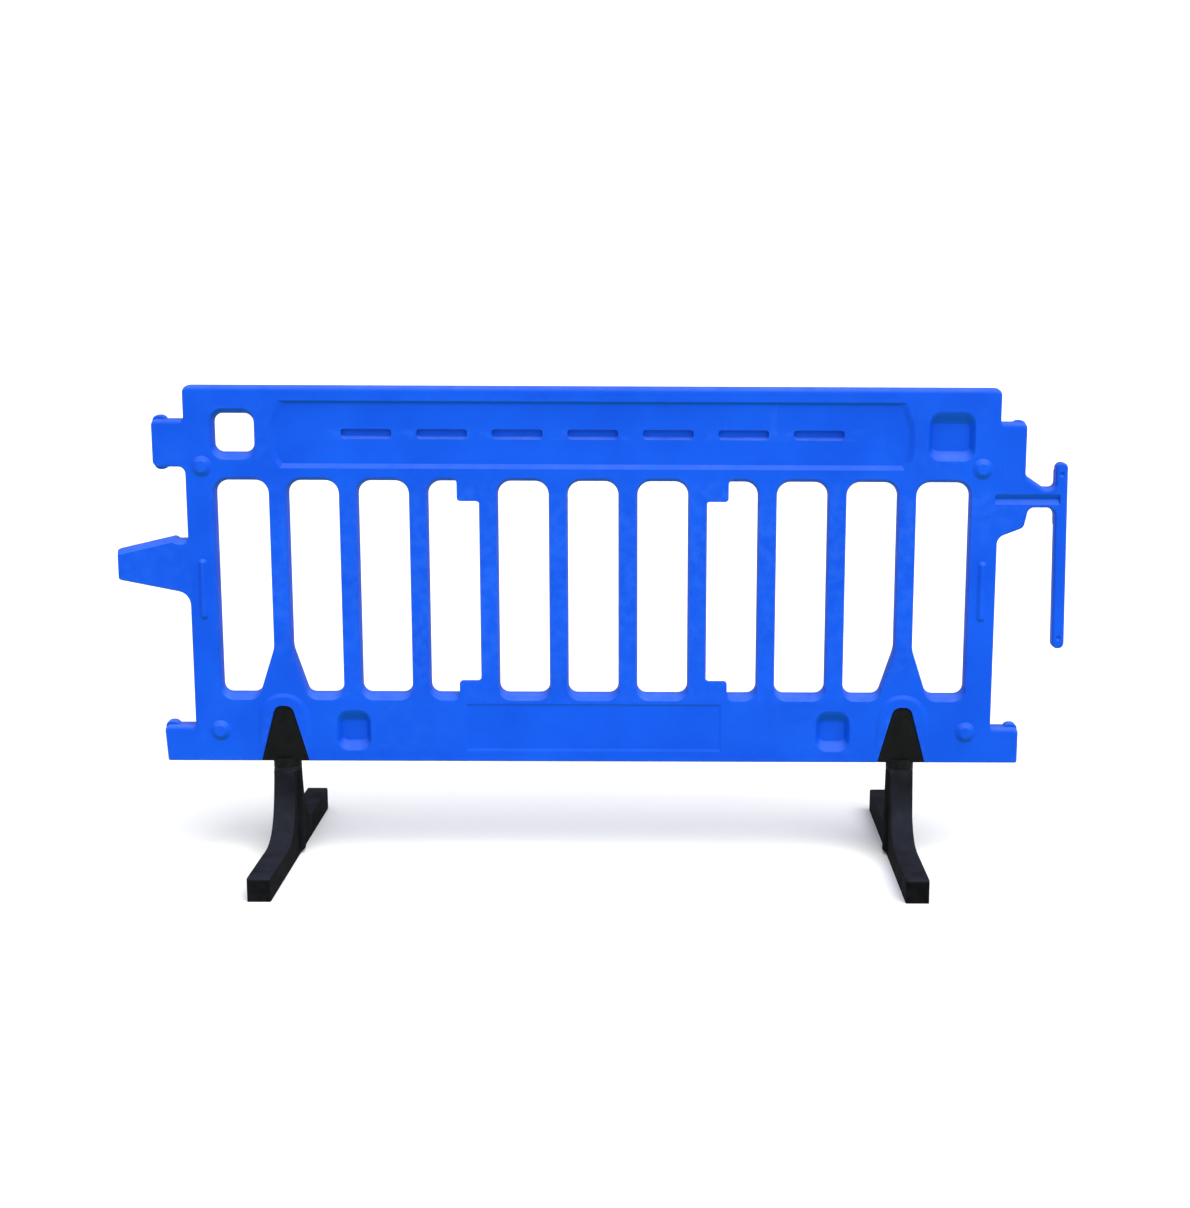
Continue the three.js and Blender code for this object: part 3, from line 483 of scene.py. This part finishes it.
def band_cutters():
    """The long recess in the top rail, and the dish in its floor."""
    low, high = BAND_BOTTOM + BULGE_LOW, BAND_TOP - BULGE_HIGH
    corners = [
        (-BAND_CORNER, BAND_BOTTOM, BAND_R), (BAND_CORNER, BAND_BOTTOM, BAND_R),
        (BAND_BULGE, low, BULGE_R), (BAND_BULGE, high, BULGE_R),
        (BAND_CORNER, BAND_TOP, BAND_R), (-BAND_CORNER, BAND_TOP, BAND_R),
        (-BAND_BULGE, high, BULGE_R), (-BAND_BULGE, low, BULGE_R),
    ]
    floor = -FACE + BAND_DEPTH
    walls = [*from_outside(BAND_LIP), *from_y(floor, BAND_FLOOR)]
    end = BAND_CORNER - BAND_END - DISH_MARGIN
    bottom, top = BAND_BOTTOM + BAND_SILL + DISH_MARGIN, BAND_TOP - BAND_HEAD - DISH_MARGIN
    dish = [(-FACE - CLEAR, 0)]
    for k in range(DISH_STEPS + 1):
        share = k / DISH_STEPS
        dish.append((floor + DISH_DEPTH * (1 - (1 - share) ** 2), -share))
    return (both_faces(corners, walls, by_side(BAND_HEAD, BAND_SILL, BAND_END)),
            both_faces(rectangle(-end, end, bottom, top, DISH_R), dish, lambda nx, nz: DISH_SLOPE))


def slot_cutters():
    """Narrow slots along the recess, each with a sloped lower lip."""
    _, *wide = SLOT_MOUTH[0]
    mouth = from_y(-FACE + BAND_DEPTH + DISH_DEPTH, SLOT_MOUTH)
    profile = [(-FACE - CLEAR, *wide), *mouth, *from_y(-SLOT_WEB, SLOT_FLOOR)]
    half, reach = SLOT_WIDTH / 2, SLOT_LENGTH / 2
    made = []
    for i in range(SLOT_COUNT):
        x = (i - (SLOT_COUNT - 1) / 2) * SLOT_PITCH
        corners = rectangle(x - reach, x + reach, SLOT_Z - half, SLOT_Z + half, SLOT_R)
        made += both_faces(corners, profile, by_side(0, SLOT_LIP, SLOT_END))
    return made


def pocket_cutters(x0, x1, bottom, top):
    """A blind pocket whose sloped walls run into its floor and its rim in curves."""
    profile = [(-FACE - CLEAR, POCKET_RIM)]
    for k in range(POCKET_STEPS + 1):
        share = k / POCKET_STEPS
        ease = share * share * (3 - 2 * share)
        depth = POCKET_DEPTH * (ease + share) / 2
        profile.append((-FACE + depth, POCKET_RIM - (1 + POCKET_RIM) * share))
    side = by_side(POCKET_HEAD, POCKET_SILL, POCKET_END)
    return both_faces(rectangle(x0, x1, bottom, top, POCKET_R), profile, side)


def label_cutter():
    corners = rectangle(-LABEL_X, LABEL_X, LABEL_BOTTOM, LABEL_TOP, LABEL_R)
    wall = [(LABEL_DEPTH * share, -share) for share in LABEL_WALL]
    profile = from_outside([(0, 0, LABEL_RIM), *wall, (LABEL_DEPTH, -1, LABEL_FLOOR)])
    return loft(corners, profile, by_side(LABEL_HEAD, LABEL_SILL, LABEL_END))


def stacking_shapes():
    """Raised bosses and ribs on the front face, and the hollows behind that they stack into."""
    shapes = [(disc(x, z, BOSS_BASE), BOSS_HEIGHT, BOSS_BASE - BOSS_TOP) for x, z in BOSSES]
    for x in (-RIB_X, RIB_X):
        corners = rectangle(x - RIB_HALF, x + RIB_HALF, RIB_BOTTOM, RIB_TOP, RIB_R)
        shapes.append((corners, RIB_HEIGHT, RIB_HALF - RIB_CREST))
    raised, hollows = [], []
    for corners, height, slope in shapes:
        crown = [(-FACE - height + depth, -slope + extra) for depth, extra in STACK_CROWN]
        straight = [(-FACE - height + STACK_ROUND, -slope * STACK_HIGH),
                    (-FACE - STACK_ROUND, -STACK_LOW * slope)]
        raised.append(loft(corners, [*crown, *straight, *from_y(-FACE, STACK_FOOT)]))
        floor = [(FACE - height + depth, -slope + extra) for depth, extra in HOLLOW_FLOOR]
        hollows.append(loft(corners, [*floor, *from_y(FACE, HOLLOW_RIM)]))
    return raised, hollows


def hook_cutters():
    """A groove along the hook's arm, a dimple near each end of its bar, and a slope behind the arm."""
    def groove_side(nx, nz):
        return GROOVE_SLOPE if abs(nz) > STEEP else GROOVE_END

    def taper_side(nx, nz):
        return TAPER_TO - TAPER_FROM if nx < -STEEP else 0

    z, half = GROOVE_Z, GROOVE_HALF
    groove = rectangle(GROOVE_X0, GROOVE_X1, z - half, z + half, GROOVE_R)
    profile = [*from_outside(GROOVE_LIP), *from_y(-FACE + GROOVE_DEPTH, GROOVE_FLOOR)]
    made = [loft(groove, profile, groove_side)]
    for at in (HOOK_BOTTOM + DIMPLE_LOW, HOOK_TOP - DIMPLE_HIGH):
        dimple = disc(hook_inner(at) + HOOK_WIDTH / 2, at, DIMPLE_R)
        made.append(loft(dimple, from_outside(DIMPLE_WALL)))
    behind = rectangle(TAPER_TO, ARM_END + TAPER_BEYOND, ARM_BOTTOM - TAPER_BELOW,
                       HOOK_TOP + TAPER_BEYOND, TIGHT)
    made.append(loft(behind, [(HOOK_BACK, 0), (FACE + PAST, 1)], taper_side))
    return made


def socket_outline(x, bottom):
    taper = (SOCKET_HALF - SOCKET_HALF_TOP) / (SOCKET_TOP - PANEL_Z)
    half = SOCKET_HALF + (PANEL_Z - bottom) * taper
    return [(x - half, bottom, TIGHT), (x + half, bottom, TIGHT),
            (x + SOCKET_HALF_TOP, SOCKET_TOP, SOCKET_R), (x - SOCKET_HALF_TOP, SOCKET_TOP, SOCKET_R)]


def keyed(nx, nz):
    """A rib round the socket keys it into the panel, but not along its underside."""
    return 0 if is_sill(nz) else KEY_RISE


def socket_cavity(x):
    lip = [(-FACE + depth, 0, GAP + extra) for depth, extra in CAVITY_LIP]
    _, *wide = lip[0]
    sides = through([*lip, (-KEY_FOOT, 0, GAP), (-KEY_CREST, 1, GAP)])
    profile = [(-FACE - CLEAR, *wide), *sides, (FACE + PAST, *wide)]
    return loft(socket_outline(x, PANEL_Z - SOCKET_CUT), profile, keyed)


def pad(x):
    """The moulding swells a little round each socket, most of all over its top."""
    profile = [*from_y(-FACE - PAD_HEIGHT, PAD_CROWN), *from_y(-FACE, PAD_FOOT)]
    corners = rectangle(x - PAD_HALF, x + PAD_HALF, PAD_BOTTOM, PAD_TOP, SHARP, PAD_R)
    return loft(corners, profile, by_side(PAD_HEAD, PAD_SILL, PAD_END))


def make_panel(material):
    feet = (-FOOT_X, FOOT_X)
    edges = through(quarter_round(FACE, EDGE_DEPTH, -1), SEAM)
    whole = loft(panel_outline(), edges, by_side(EDGE_TOP, EDGE_UNDER, EDGE_SIDE))
    bevel = through(from_y(-FACE, TONGUE_BEVEL))
    tongue = loft(tongue_outline(), bevel, by_side(TONGUE_UPPER, TONGUE_LOWER, TONGUE_END))
    raised, hollows = stacking_shapes()
    openings, spaces = window_cutters()
    recess, dish = band_cutters()
    pockets = pocket_cutters(*TOP_POCKET)
    for at in RAIL_POCKETS:
        pockets += pocket_cutters(*at)
    sockets = [socket_cavity(x) for x in feet]

    body = new_object("panel_body", whole)
    boolean(body, "UNION", tongue)
    boolean(body, "UNION", *knuckles(), *raised, *[pad(x) for x in feet])
    boolean(body, "DIFFERENCE", *openings, hand_hole_cutter(), *recess, *pockets, label_cutter(),
            *hollows, *sockets)
    boolean(body, "DIFFERENCE", *spaces, *dish)
    boolean(body, "UNION", hook_bar())
    boolean(body, "DIFFERENCE", *slot_cutters(), *hook_cutters())
    return finish_surface(body, material)


# ---------------------------------------------------------------- sockets and feet


def turned(x, points, sides=ROUND_SIDES):
    """A solid turned about the vertical line through x, from closed (radius, z) points, outside
    going up. A point on the axis is radius 0."""
    vertices, faces, rings = [], [], []
    for r, z in points:
        if r == 0:
            rings.append([len(vertices)] * sides)
            vertices.append((x, 0, z))
            continue
        rings.append(list(range(len(vertices), len(vertices) + sides)))
        for k in range(sides):
            angle = 2 * math.pi * k / sides
            vertices.append((x + r * math.cos(angle), r * math.sin(angle), z))
    closed = points[0][0] > 0
    for i in range(len(rings) if closed else len(rings) - 1):
        low, high = rings[i], rings[(i + 1) % len(rings)]
        for k in range(sides):
            n = (k + 1) % sides
            face = list(dict.fromkeys((low[k], low[n], high[n], high[k])))
            if len(face) > 2:
                faces.append(tuple(face))
    return vertices, faces


def rod(x, r, bottom, top, edge=0.0):
    """A cylinder on its end, with rounded edges if edge is given."""
    if not edge:
        return turned(x, [(0, bottom), (r, bottom), (r, top), (0, top)])
    soft = SOFTEN * edge
    return turned(x, [(0, bottom), (r - edge, bottom), (r - soft, bottom + soft), (r, bottom + edge),
                      (r, top - edge), (r - soft, top - soft), (r - edge, top), (0, top)])


def make_socket(side, x, material):
    """The black wedge, with softened edges and a round bearing ring under it."""
    profile = through([*from_y(-(FACE - GAP), SOCKET_EDGE), (-KEY_FOOT, 0), (-KEY_CREST, 1)])
    low, high = (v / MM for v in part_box(f"{side}_foot_socket"))
    ring_r = high.y
    wedge = loft(socket_outline(x, PANEL_Z + SOCKET_LIFT), profile, keyed)
    piece = new_object(f"{side}_socket_shell", wedge)
    boolean(piece, "UNION", rod(x, ring_r, low.z, PANEL_Z + RING_ROOT, RING_EDGE))
    boolean(piece, "DIFFERENCE", rod(x, SOCKET_BORE_R, low.z - PAST, low.z + SOCKET_BORE))
    return finish_surface(piece, material)


def bezier(a, b, c, d, steps):
    made = []
    for k in range(steps + 1):
        t = k / steps
        u = 1 - t
        made.append(tuple(u ** 3 * p + 3 * u * u * t * q + 3 * u * t * t * r + t ** 3 * s
                          for p, q, r, s in zip(a, b, c, d)))
    return made


def foot_side_view():
    """(y, z) points of a foot from the side, anticlockwise with +Y to the right: a flat sole, blunt
    toes, and a web that sweeps up to the post."""
    toe, half = FOOT_TOE, FOOT_HALF
    right = [(half - SOLE_EDGE, 0), (half - SOLE_SOFT, SOLE_SOFT), (half, SOLE_EDGE)]
    right += bezier((half, toe - TOE_ROUND), (half, toe - TOE_SOFT), (half - TOE_SOFT, toe),
                    (half - TOE_ROUND, toe), TOE_STEPS)
    right += [(y, toe - fall) for y, fall in TOE_FALL]
    right += bezier(SWEEP_FOOT, SWEEP_OUT, SWEEP_UP, (FOOT_NECK, FOOT_TOP), SWEEP_STEPS)
    return right + [(-y, z) for y, z in reversed(right)]


def web(x):
    """The side view swept across the foot's width, with rounded long edges."""
    points = foot_side_view()
    count = len(points)
    normals = []
    for i in range(count):
        (ay, az), (by, bz) = points[i - 1], points[(i + 1) % count]
        length = math.hypot(by - ay, bz - az)
        normals.append(((bz - az) / length, -(by - ay) / length))
    rings = quarter_round(FOOT_WIDTH / 2, FOOT_EDGE, FOOT_EDGE, FOOT_EDGE_STEPS)
    rings += [(-across, inset) for across, inset in reversed(rings)]
    vertices = [(x + across, y - ny * inset, max(0.0, z - nz * inset) if z > SOLE_EDGE else z)
                for across, inset in rings for (y, z), (ny, nz) in zip(points, normals)]
    faces = []
    for r in range(len(rings) - 1):
        for i in range(count):
            a, b = r * count + i, r * count + (i + 1) % count
            faces.append((a, b, b + count, a + count))
    last = (len(rings) - 1) * count
    faces.append(tuple(reversed(range(count))))
    faces.append(tuple(range(last, last + count)))
    return vertices, faces


def make_foot(side, x, material):
    low, top = POST_FROM, FOOT_TOP
    root = [(POST_BOTTOM_R - inset, low + rise) for inset, rise in POST_ROOT]
    crown = [(POST_TOP_R - inset, top - drop) for inset, drop in POST_CROWN]
    piece = new_object(f"{side}_foot_shell", web(x))
    boolean(piece, "UNION", turned(x, [(0, low), *root, *crown, (0, top)]))
    boolean(piece, "DIFFERENCE", rod(x, COUNTERBORE_R, -PAST, SHOULDER_Z + GAP))
    boolean(piece, "DIFFERENCE", rod(x, BORE_R, SHOULDER_Z - PAST, FOOT_TOP + PAST))
    return finish_surface(piece, material, FOOT_SHARP_DEGREES)


def make_washer(side, x, material):
    low, high = (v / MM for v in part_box(f"{side}_thrust_washer"))
    r, inner, edge = high.y, WASHER_BORE_R, WASHER_EDGE
    shape = turned(x, [(inner, low.z), (r - edge, low.z), (r, low.z + edge), (r, high.z - edge),
                       (r - edge, high.z), (inner, high.z)])
    return finish_surface(new_object(f"{side}_bearing_washer", shape), material)


# ---------------------------------------------------------------- materials


def linear(r, g, b):
    """An sRGB colour, 0 to 255, as linear RGBA, taken down to suit the studio's strong light."""
    def one(v):
        v /= 255
        return (v / 12.92 if v <= 0.04045 else ((v + 0.055) / 1.055) ** 2.4) * SHADE

    return (one(r), one(g), one(b), 1)


class Nodes:
    """A material's node tree, with short calls for the nodes that the finishes use."""

    def __init__(self, name):
        self.material = bpy.data.materials.new(name)
        self.material.use_nodes = True
        self.tree = self.material.node_tree
        self.shader = self.tree.nodes["Principled BSDF"]
        self.place = self.tree.nodes.new("ShaderNodeTexCoord").outputs["Object"]

    def link(self, source, target):
        self.tree.links.new(source, target)

    def noise(self, scale, detail=4, roughness=0.55, stretch=(1, 1, 1), distortion=0):
        mapping = self.tree.nodes.new("ShaderNodeMapping")
        mapping.inputs["Scale"].default_value = stretch
        self.link(self.place, mapping.inputs["Vector"])
        node = self.tree.nodes.new("ShaderNodeTexNoise")
        node.inputs["Scale"].default_value = scale
        node.inputs["Detail"].default_value = detail
        node.inputs["Roughness"].default_value = roughness
        node.inputs["Distortion"].default_value = distortion
        self.link(mapping.outputs["Vector"], node.inputs["Vector"])
        return node.outputs["Fac"]

    def ramp(self, value, low, high, out_low=0.0, out_high=1.0):
        node = self.tree.nodes.new("ShaderNodeMapRange")
        for name, number in (("From Min", low), ("From Max", high),
                             ("To Min", out_low), ("To Max", out_high)):
            node.inputs[name].default_value = number
        self.link(value, node.inputs["Value"])
        return node.outputs["Result"]

    def patches(self, scale, detail, within, to=(0.0, 1.0), **shape):
        """Noise whose values within the first limits become those of the second."""
        return self.ramp(self.noise(scale, detail, **shape), *within, *to)

    def math(self, operation, a, b):
        node = self.tree.nodes.new("ShaderNodeMath")
        node.operation = operation
        for socket, value in zip(node.inputs, (a, b)):
            if isinstance(value, (int, float)):
                socket.default_value = value
            else:
                self.link(value, socket)
        return node.outputs["Value"]

    def mix(self, share, a, b):
        node = self.tree.nodes.new("ShaderNodeMix")
        node.data_type = "RGBA"
        self.link(share, node.inputs["Factor"])
        for socket, value in ((node.inputs["A"], a), (node.inputs["B"], b)):
            if isinstance(value, tuple):
                socket.default_value = value
            else:
                self.link(value, socket)
        return node.outputs["Result"]

    def upward(self, low, high):
        """0 to 1 as the surface turns from low to high, where 1 faces straight up."""
        geometry = self.tree.nodes.new("ShaderNodeNewGeometry")
        split = self.tree.nodes.new("ShaderNodeSeparateXYZ")
        self.link(geometry.outputs["Normal"], split.inputs["Vector"])
        return self.ramp(split.outputs["Z"], low, high)

    def edges(self, low, high):
        """0 to 1 as the surface gets more pointed, so 1 lies along outer edges."""
        geometry = self.tree.nodes.new("ShaderNodeNewGeometry")
        return self.ramp(geometry.outputs["Pointiness"], low, high)

    def bump(self, height, distance, strength=1.0, below=None):
        node = self.tree.nodes.new("ShaderNodeBump")
        node.inputs["Distance"].default_value = distance
        node.inputs["Strength"].default_value = strength
        self.link(height, node.inputs["Height"])
        if below is not None:
            self.link(below, node.inputs["Normal"])
        return node.outputs["Normal"]

    def done(self, colour, roughness, normal, specular=None):
        """Links the finish to the shader. Low specular levels keep the studio's white off it."""
        self.link(colour, self.shader.inputs["Base Color"])
        self.link(roughness, self.shader.inputs["Roughness"])
        self.link(normal, self.shader.inputs["Normal"])
        if specular is not None:
            self.shader.inputs["Specular IOR Level"].default_value = specular
        return self.material


def blue_plastic():
    """Moulded polyethylene: satin blue with faint clouding, orange peel, scuffs and paler edges. Sills
    and other upward faces carry a painted highlight, and undersides a deeper painted shade."""
    n = Nodes("blue_plastic")
    clouds = n.patches(scale=7, detail=5, within=(0.35, 0.68))
    colour = n.mix(clouds, linear(5, 78, 209), linear(9, 86, 219))
    specks = n.patches(scale=260, detail=3, within=(0.62, 0.75), to=(0, 0.3))
    colour = n.mix(specks, colour, linear(24, 96, 232))
    # Painted shade: faces that turn downwards are mixed towards a deep blue.
    painted_underside_shade = n.math("MULTIPLY", n.upward(-0.15, -0.6), 0.75)
    colour = n.mix(painted_underside_shade, colour, linear(0, 80, 152))
    # Painted highlight: upward faces, sills most of all, are mixed in patches towards a pale whitish blue.
    painted_light_tops = n.upward(0.25, 0.8)
    painted_sill_highlight = n.math("MULTIPLY", painted_light_tops, n.patches(30, 5, within=(0.3, 0.7), to=(0.1, 0.2)))
    colour = n.mix(painted_sill_highlight, colour, linear(150, 180, 255))
    rims = n.edges(0.515, 0.6)
    wear = n.math("MULTIPLY", rims, n.patches(45, 6, within=(0.42, 0.62), to=(0, 0.4)))
    colour = n.mix(wear, colour, linear(60, 120, 240))
    scuffs = n.patches(9, 8, within=(0.64, 0.72), to=(0, 0.2), roughness=0.62, stretch=(6, 6, 1),
                       distortion=0.6)
    colour = n.mix(scuffs, colour, linear(44, 108, 230))
    satin = n.patches(scale=24, detail=6, within=(0.3, 0.7), to=(0.5, 0.6))
    roughness = n.math("ADD", satin, n.math("MULTIPLY", scuffs, 0.4))
    peel = n.bump(n.noise(scale=420, detail=2), distance=0.00022, strength=0.35)
    waves = n.bump(n.noise(scale=11, detail=2), distance=0.004, strength=0.12, below=peel)
    return n.done(colour, roughness, waves, specular=0.07)


def black_rubber():
    """Recycled rubber: near black with a mottled bloom, fine grain, rubbed edges, and painted light on top."""
    n = Nodes("black_rubber")
    bloom = n.patches(scale=22, detail=6, within=(0.38, 0.66), roughness=0.6)
    colour = n.mix(bloom, linear(9, 10, 11), linear(17, 18, 20))
    flecks = n.patches(scale=190, detail=4, within=(0.6, 0.72), to=(0, 0.4))
    colour = n.mix(flecks, colour, linear(32, 32, 37))
    # Painted light: the rubber's upward faces are mixed in patches towards a lighter bluish grey.
    painted_light_tops = n.upward(0.0, 0.45)
    painted_top_light = n.math("MULTIPLY", painted_light_tops, n.patches(26, 6, within=(0.3, 0.7), to=(0.3, 0.65)))
    colour = n.mix(painted_top_light, colour, linear(50, 52, 64))
    rims = n.edges(0.52, 0.62)
    wear = n.math("MULTIPLY", rims, n.patches(60, 5, within=(0.4, 0.6), to=(0.05, 0.5)))
    colour = n.mix(wear, colour, linear(56, 56, 62))
    roughness = n.patches(scale=40, detail=6, within=(0.3, 0.7), to=(0.78, 0.92))
    grain = n.bump(n.noise(scale=520, detail=4), distance=0.0005, strength=0.5)
    lumps = n.bump(n.noise(scale=38, detail=3), distance=0.002, strength=0.25, below=grain)
    return n.done(colour, roughness, lumps, specular=0.025)


def black_plastic():
    """The socket's matt black moulding, with a spark-eroded grain."""
    n = Nodes("black_plastic")
    clouds = n.patches(scale=30, detail=6, within=(0.35, 0.68))
    colour = n.mix(clouds, linear(8, 11, 11), linear(14, 17, 17))
    rims = n.edges(0.52, 0.6)
    wear = n.math("MULTIPLY", rims, n.patches(80, 5, within=(0.4, 0.6), to=(0, 0.5)))
    colour = n.mix(wear, colour, linear(44, 48, 50))
    roughness = n.patches(scale=60, detail=5, within=(0.3, 0.7), to=(0.55, 0.7))
    grain = n.bump(n.noise(scale=900, detail=3), distance=0.0003, strength=0.5)
    return n.done(colour, roughness, grain, specular=0.07)


def grey_nylon():
    """The thrust washers' dull dark nylon."""
    n = Nodes("grey_nylon")
    clouds = n.patches(scale=70, detail=5, within=(0.35, 0.65))
    colour = n.mix(clouds, linear(24, 24, 26), linear(38, 38, 41))
    roughness = n.patches(scale=120, detail=4, within=(0.3, 0.7), to=(0.5, 0.65))
    grain = n.bump(n.noise(scale=700, detail=3), distance=0.0002, strength=0.4)
    return n.done(colour, roughness, grain, specular=0.1)


def plated_steel():
    """Zinc-plated steel, with rings of turning marks and duller patches."""
    n = Nodes("plated_steel")
    n.shader.inputs["Metallic"].default_value = 1.0
    dull = n.patches(scale=90, detail=6, within=(0.35, 0.65))
    colour = n.mix(dull, linear(196, 197, 200), linear(150, 150, 146))
    roughness = n.patches(scale=160, detail=6, within=(0.3, 0.7), to=(0.28, 0.5))
    rings = n.noise(scale=600, detail=2, roughness=0.5, stretch=(1, 1, 6))
    return n.done(colour, roughness, n.bump(rings, distance=0.0002, strength=0.4))


# ---------------------------------------------------------------- the object

FINISHES = {make.__name__: make() for make in
            (blue_plastic, black_rubber, black_plastic, grey_nylon, plated_steel)}


def stand_for(piece, body, node):
    """A new piece rides on its CAD node's body and is shown in its place."""
    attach(piece, body)
    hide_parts(node)


SLOTS = {row["node"]: row["material_slot"] for row in frame["record"]["subparts"]}
for name, node in frame["nodes"].items():
    node.data.materials.clear()
    node.data.materials.append(FINISHES[SLOTS[name]])

stand_for(make_panel(FINISHES["blue_plastic"]), "barrier", "barrier_panel")
for side, x in (("left", -FOOT_X), ("right", FOOT_X)):
    foot_body = f"{side}_swivel_foot"
    socket = make_socket(side, x, FINISHES["black_plastic"])
    stand_for(socket, "barrier", f"{side}_foot_socket")
    washer = make_washer(side, x, FINISHES["grey_nylon"])
    stand_for(washer, "barrier", f"{side}_thrust_washer")
    stand_for(make_foot(side, x, FINISHES["black_rubber"]), foot_body, f"{side}_foot")

# ---------------------------------------------------------------- stage, light and camera


def make_floor():
    """A wide pale floor, faintly uneven in tone."""
    radius, sides = 60, 96
    dull, pale = (0.85, 0.85, 0.852, 1), (0.865, 0.865, 0.867, 1)
    bpy.ops.mesh.primitive_circle_add(vertices=sides, radius=radius, fill_type="NGON")
    floor = bpy.context.object
    floor.name = "studio_floor"
    n = Nodes("floor")
    tone = n.patches(scale=0.8, detail=3, within=(0.3, 0.7))
    colour = n.mix(tone, dull, pale)
    roughness = n.ramp(tone, 0, 1, 0.8, 0.85)
    grain = n.bump(tone, distance=0.0001, strength=0.1)
    floor.data.materials.append(n.done(colour, roughness, grain, specular=0.1))


def make_light():
    """A surround that is white at the horizon and dimmer overhead, and a broad soft light from
    above, in front and a little to the right."""
    horizon, zenith = 1.35, 0.4
    fade_from, fade_to = 0.16, 0.45
    energy, width, from_front, from_right = 4.3, 65, 30, 16
    world = bpy.data.worlds.new("studio")
    scene.world = world
    world.use_nodes = True
    tree = world.node_tree
    background = tree.nodes["Background"]
    place = tree.nodes.new("ShaderNodeTexCoord")
    split = tree.nodes.new("ShaderNodeSeparateXYZ")
    fade = tree.nodes.new("ShaderNodeMapRange")
    for name, number in (("From Min", fade_from), ("From Max", fade_to),
                         ("To Min", horizon), ("To Max", zenith)):
        fade.inputs[name].default_value = number
    tree.links.new(place.outputs["Generated"], split.inputs["Vector"])
    tree.links.new(split.outputs["Z"], fade.inputs["Value"])
    tree.links.new(fade.outputs["Result"], background.inputs["Strength"])
    background.inputs["Color"].default_value = (1, 1, 1, 1)
    lamp = bpy.data.lights.new("softbox", "SUN")
    lamp.energy = energy
    lamp.angle = math.radians(width)
    key = bpy.data.objects.new("softbox", lamp)
    key.rotation_euler = Euler((math.radians(from_front), math.radians(from_right), 0))
    scene.collection.objects.link(key)


def make_camera():
    """The photograph's viewpoint: a little right of the middle, looking slightly down."""
    lens, sensor, shift = 54.4, 36, -0.0594
    place = Vector((0.135, -3.764, 1.233))
    pitch, yaw, roll = (math.radians(a) for a in (10.39, -0.285, 0.252))
    data = bpy.data.cameras.new("camera")
    data.lens, data.sensor_width = lens, sensor
    data.shift_x = shift
    camera = bpy.data.objects.new("camera", data)
    turn = Matrix.Rotation(yaw, 4, "Z") @ Matrix.Rotation(math.pi / 2 - pitch, 4, "X")
    camera.matrix_world = Matrix.Translation(place) @ turn @ Matrix.Rotation(roll, 4, "Z")
    scene.collection.objects.link(camera)
    scene.camera = camera


make_floor()
make_light()
make_camera()
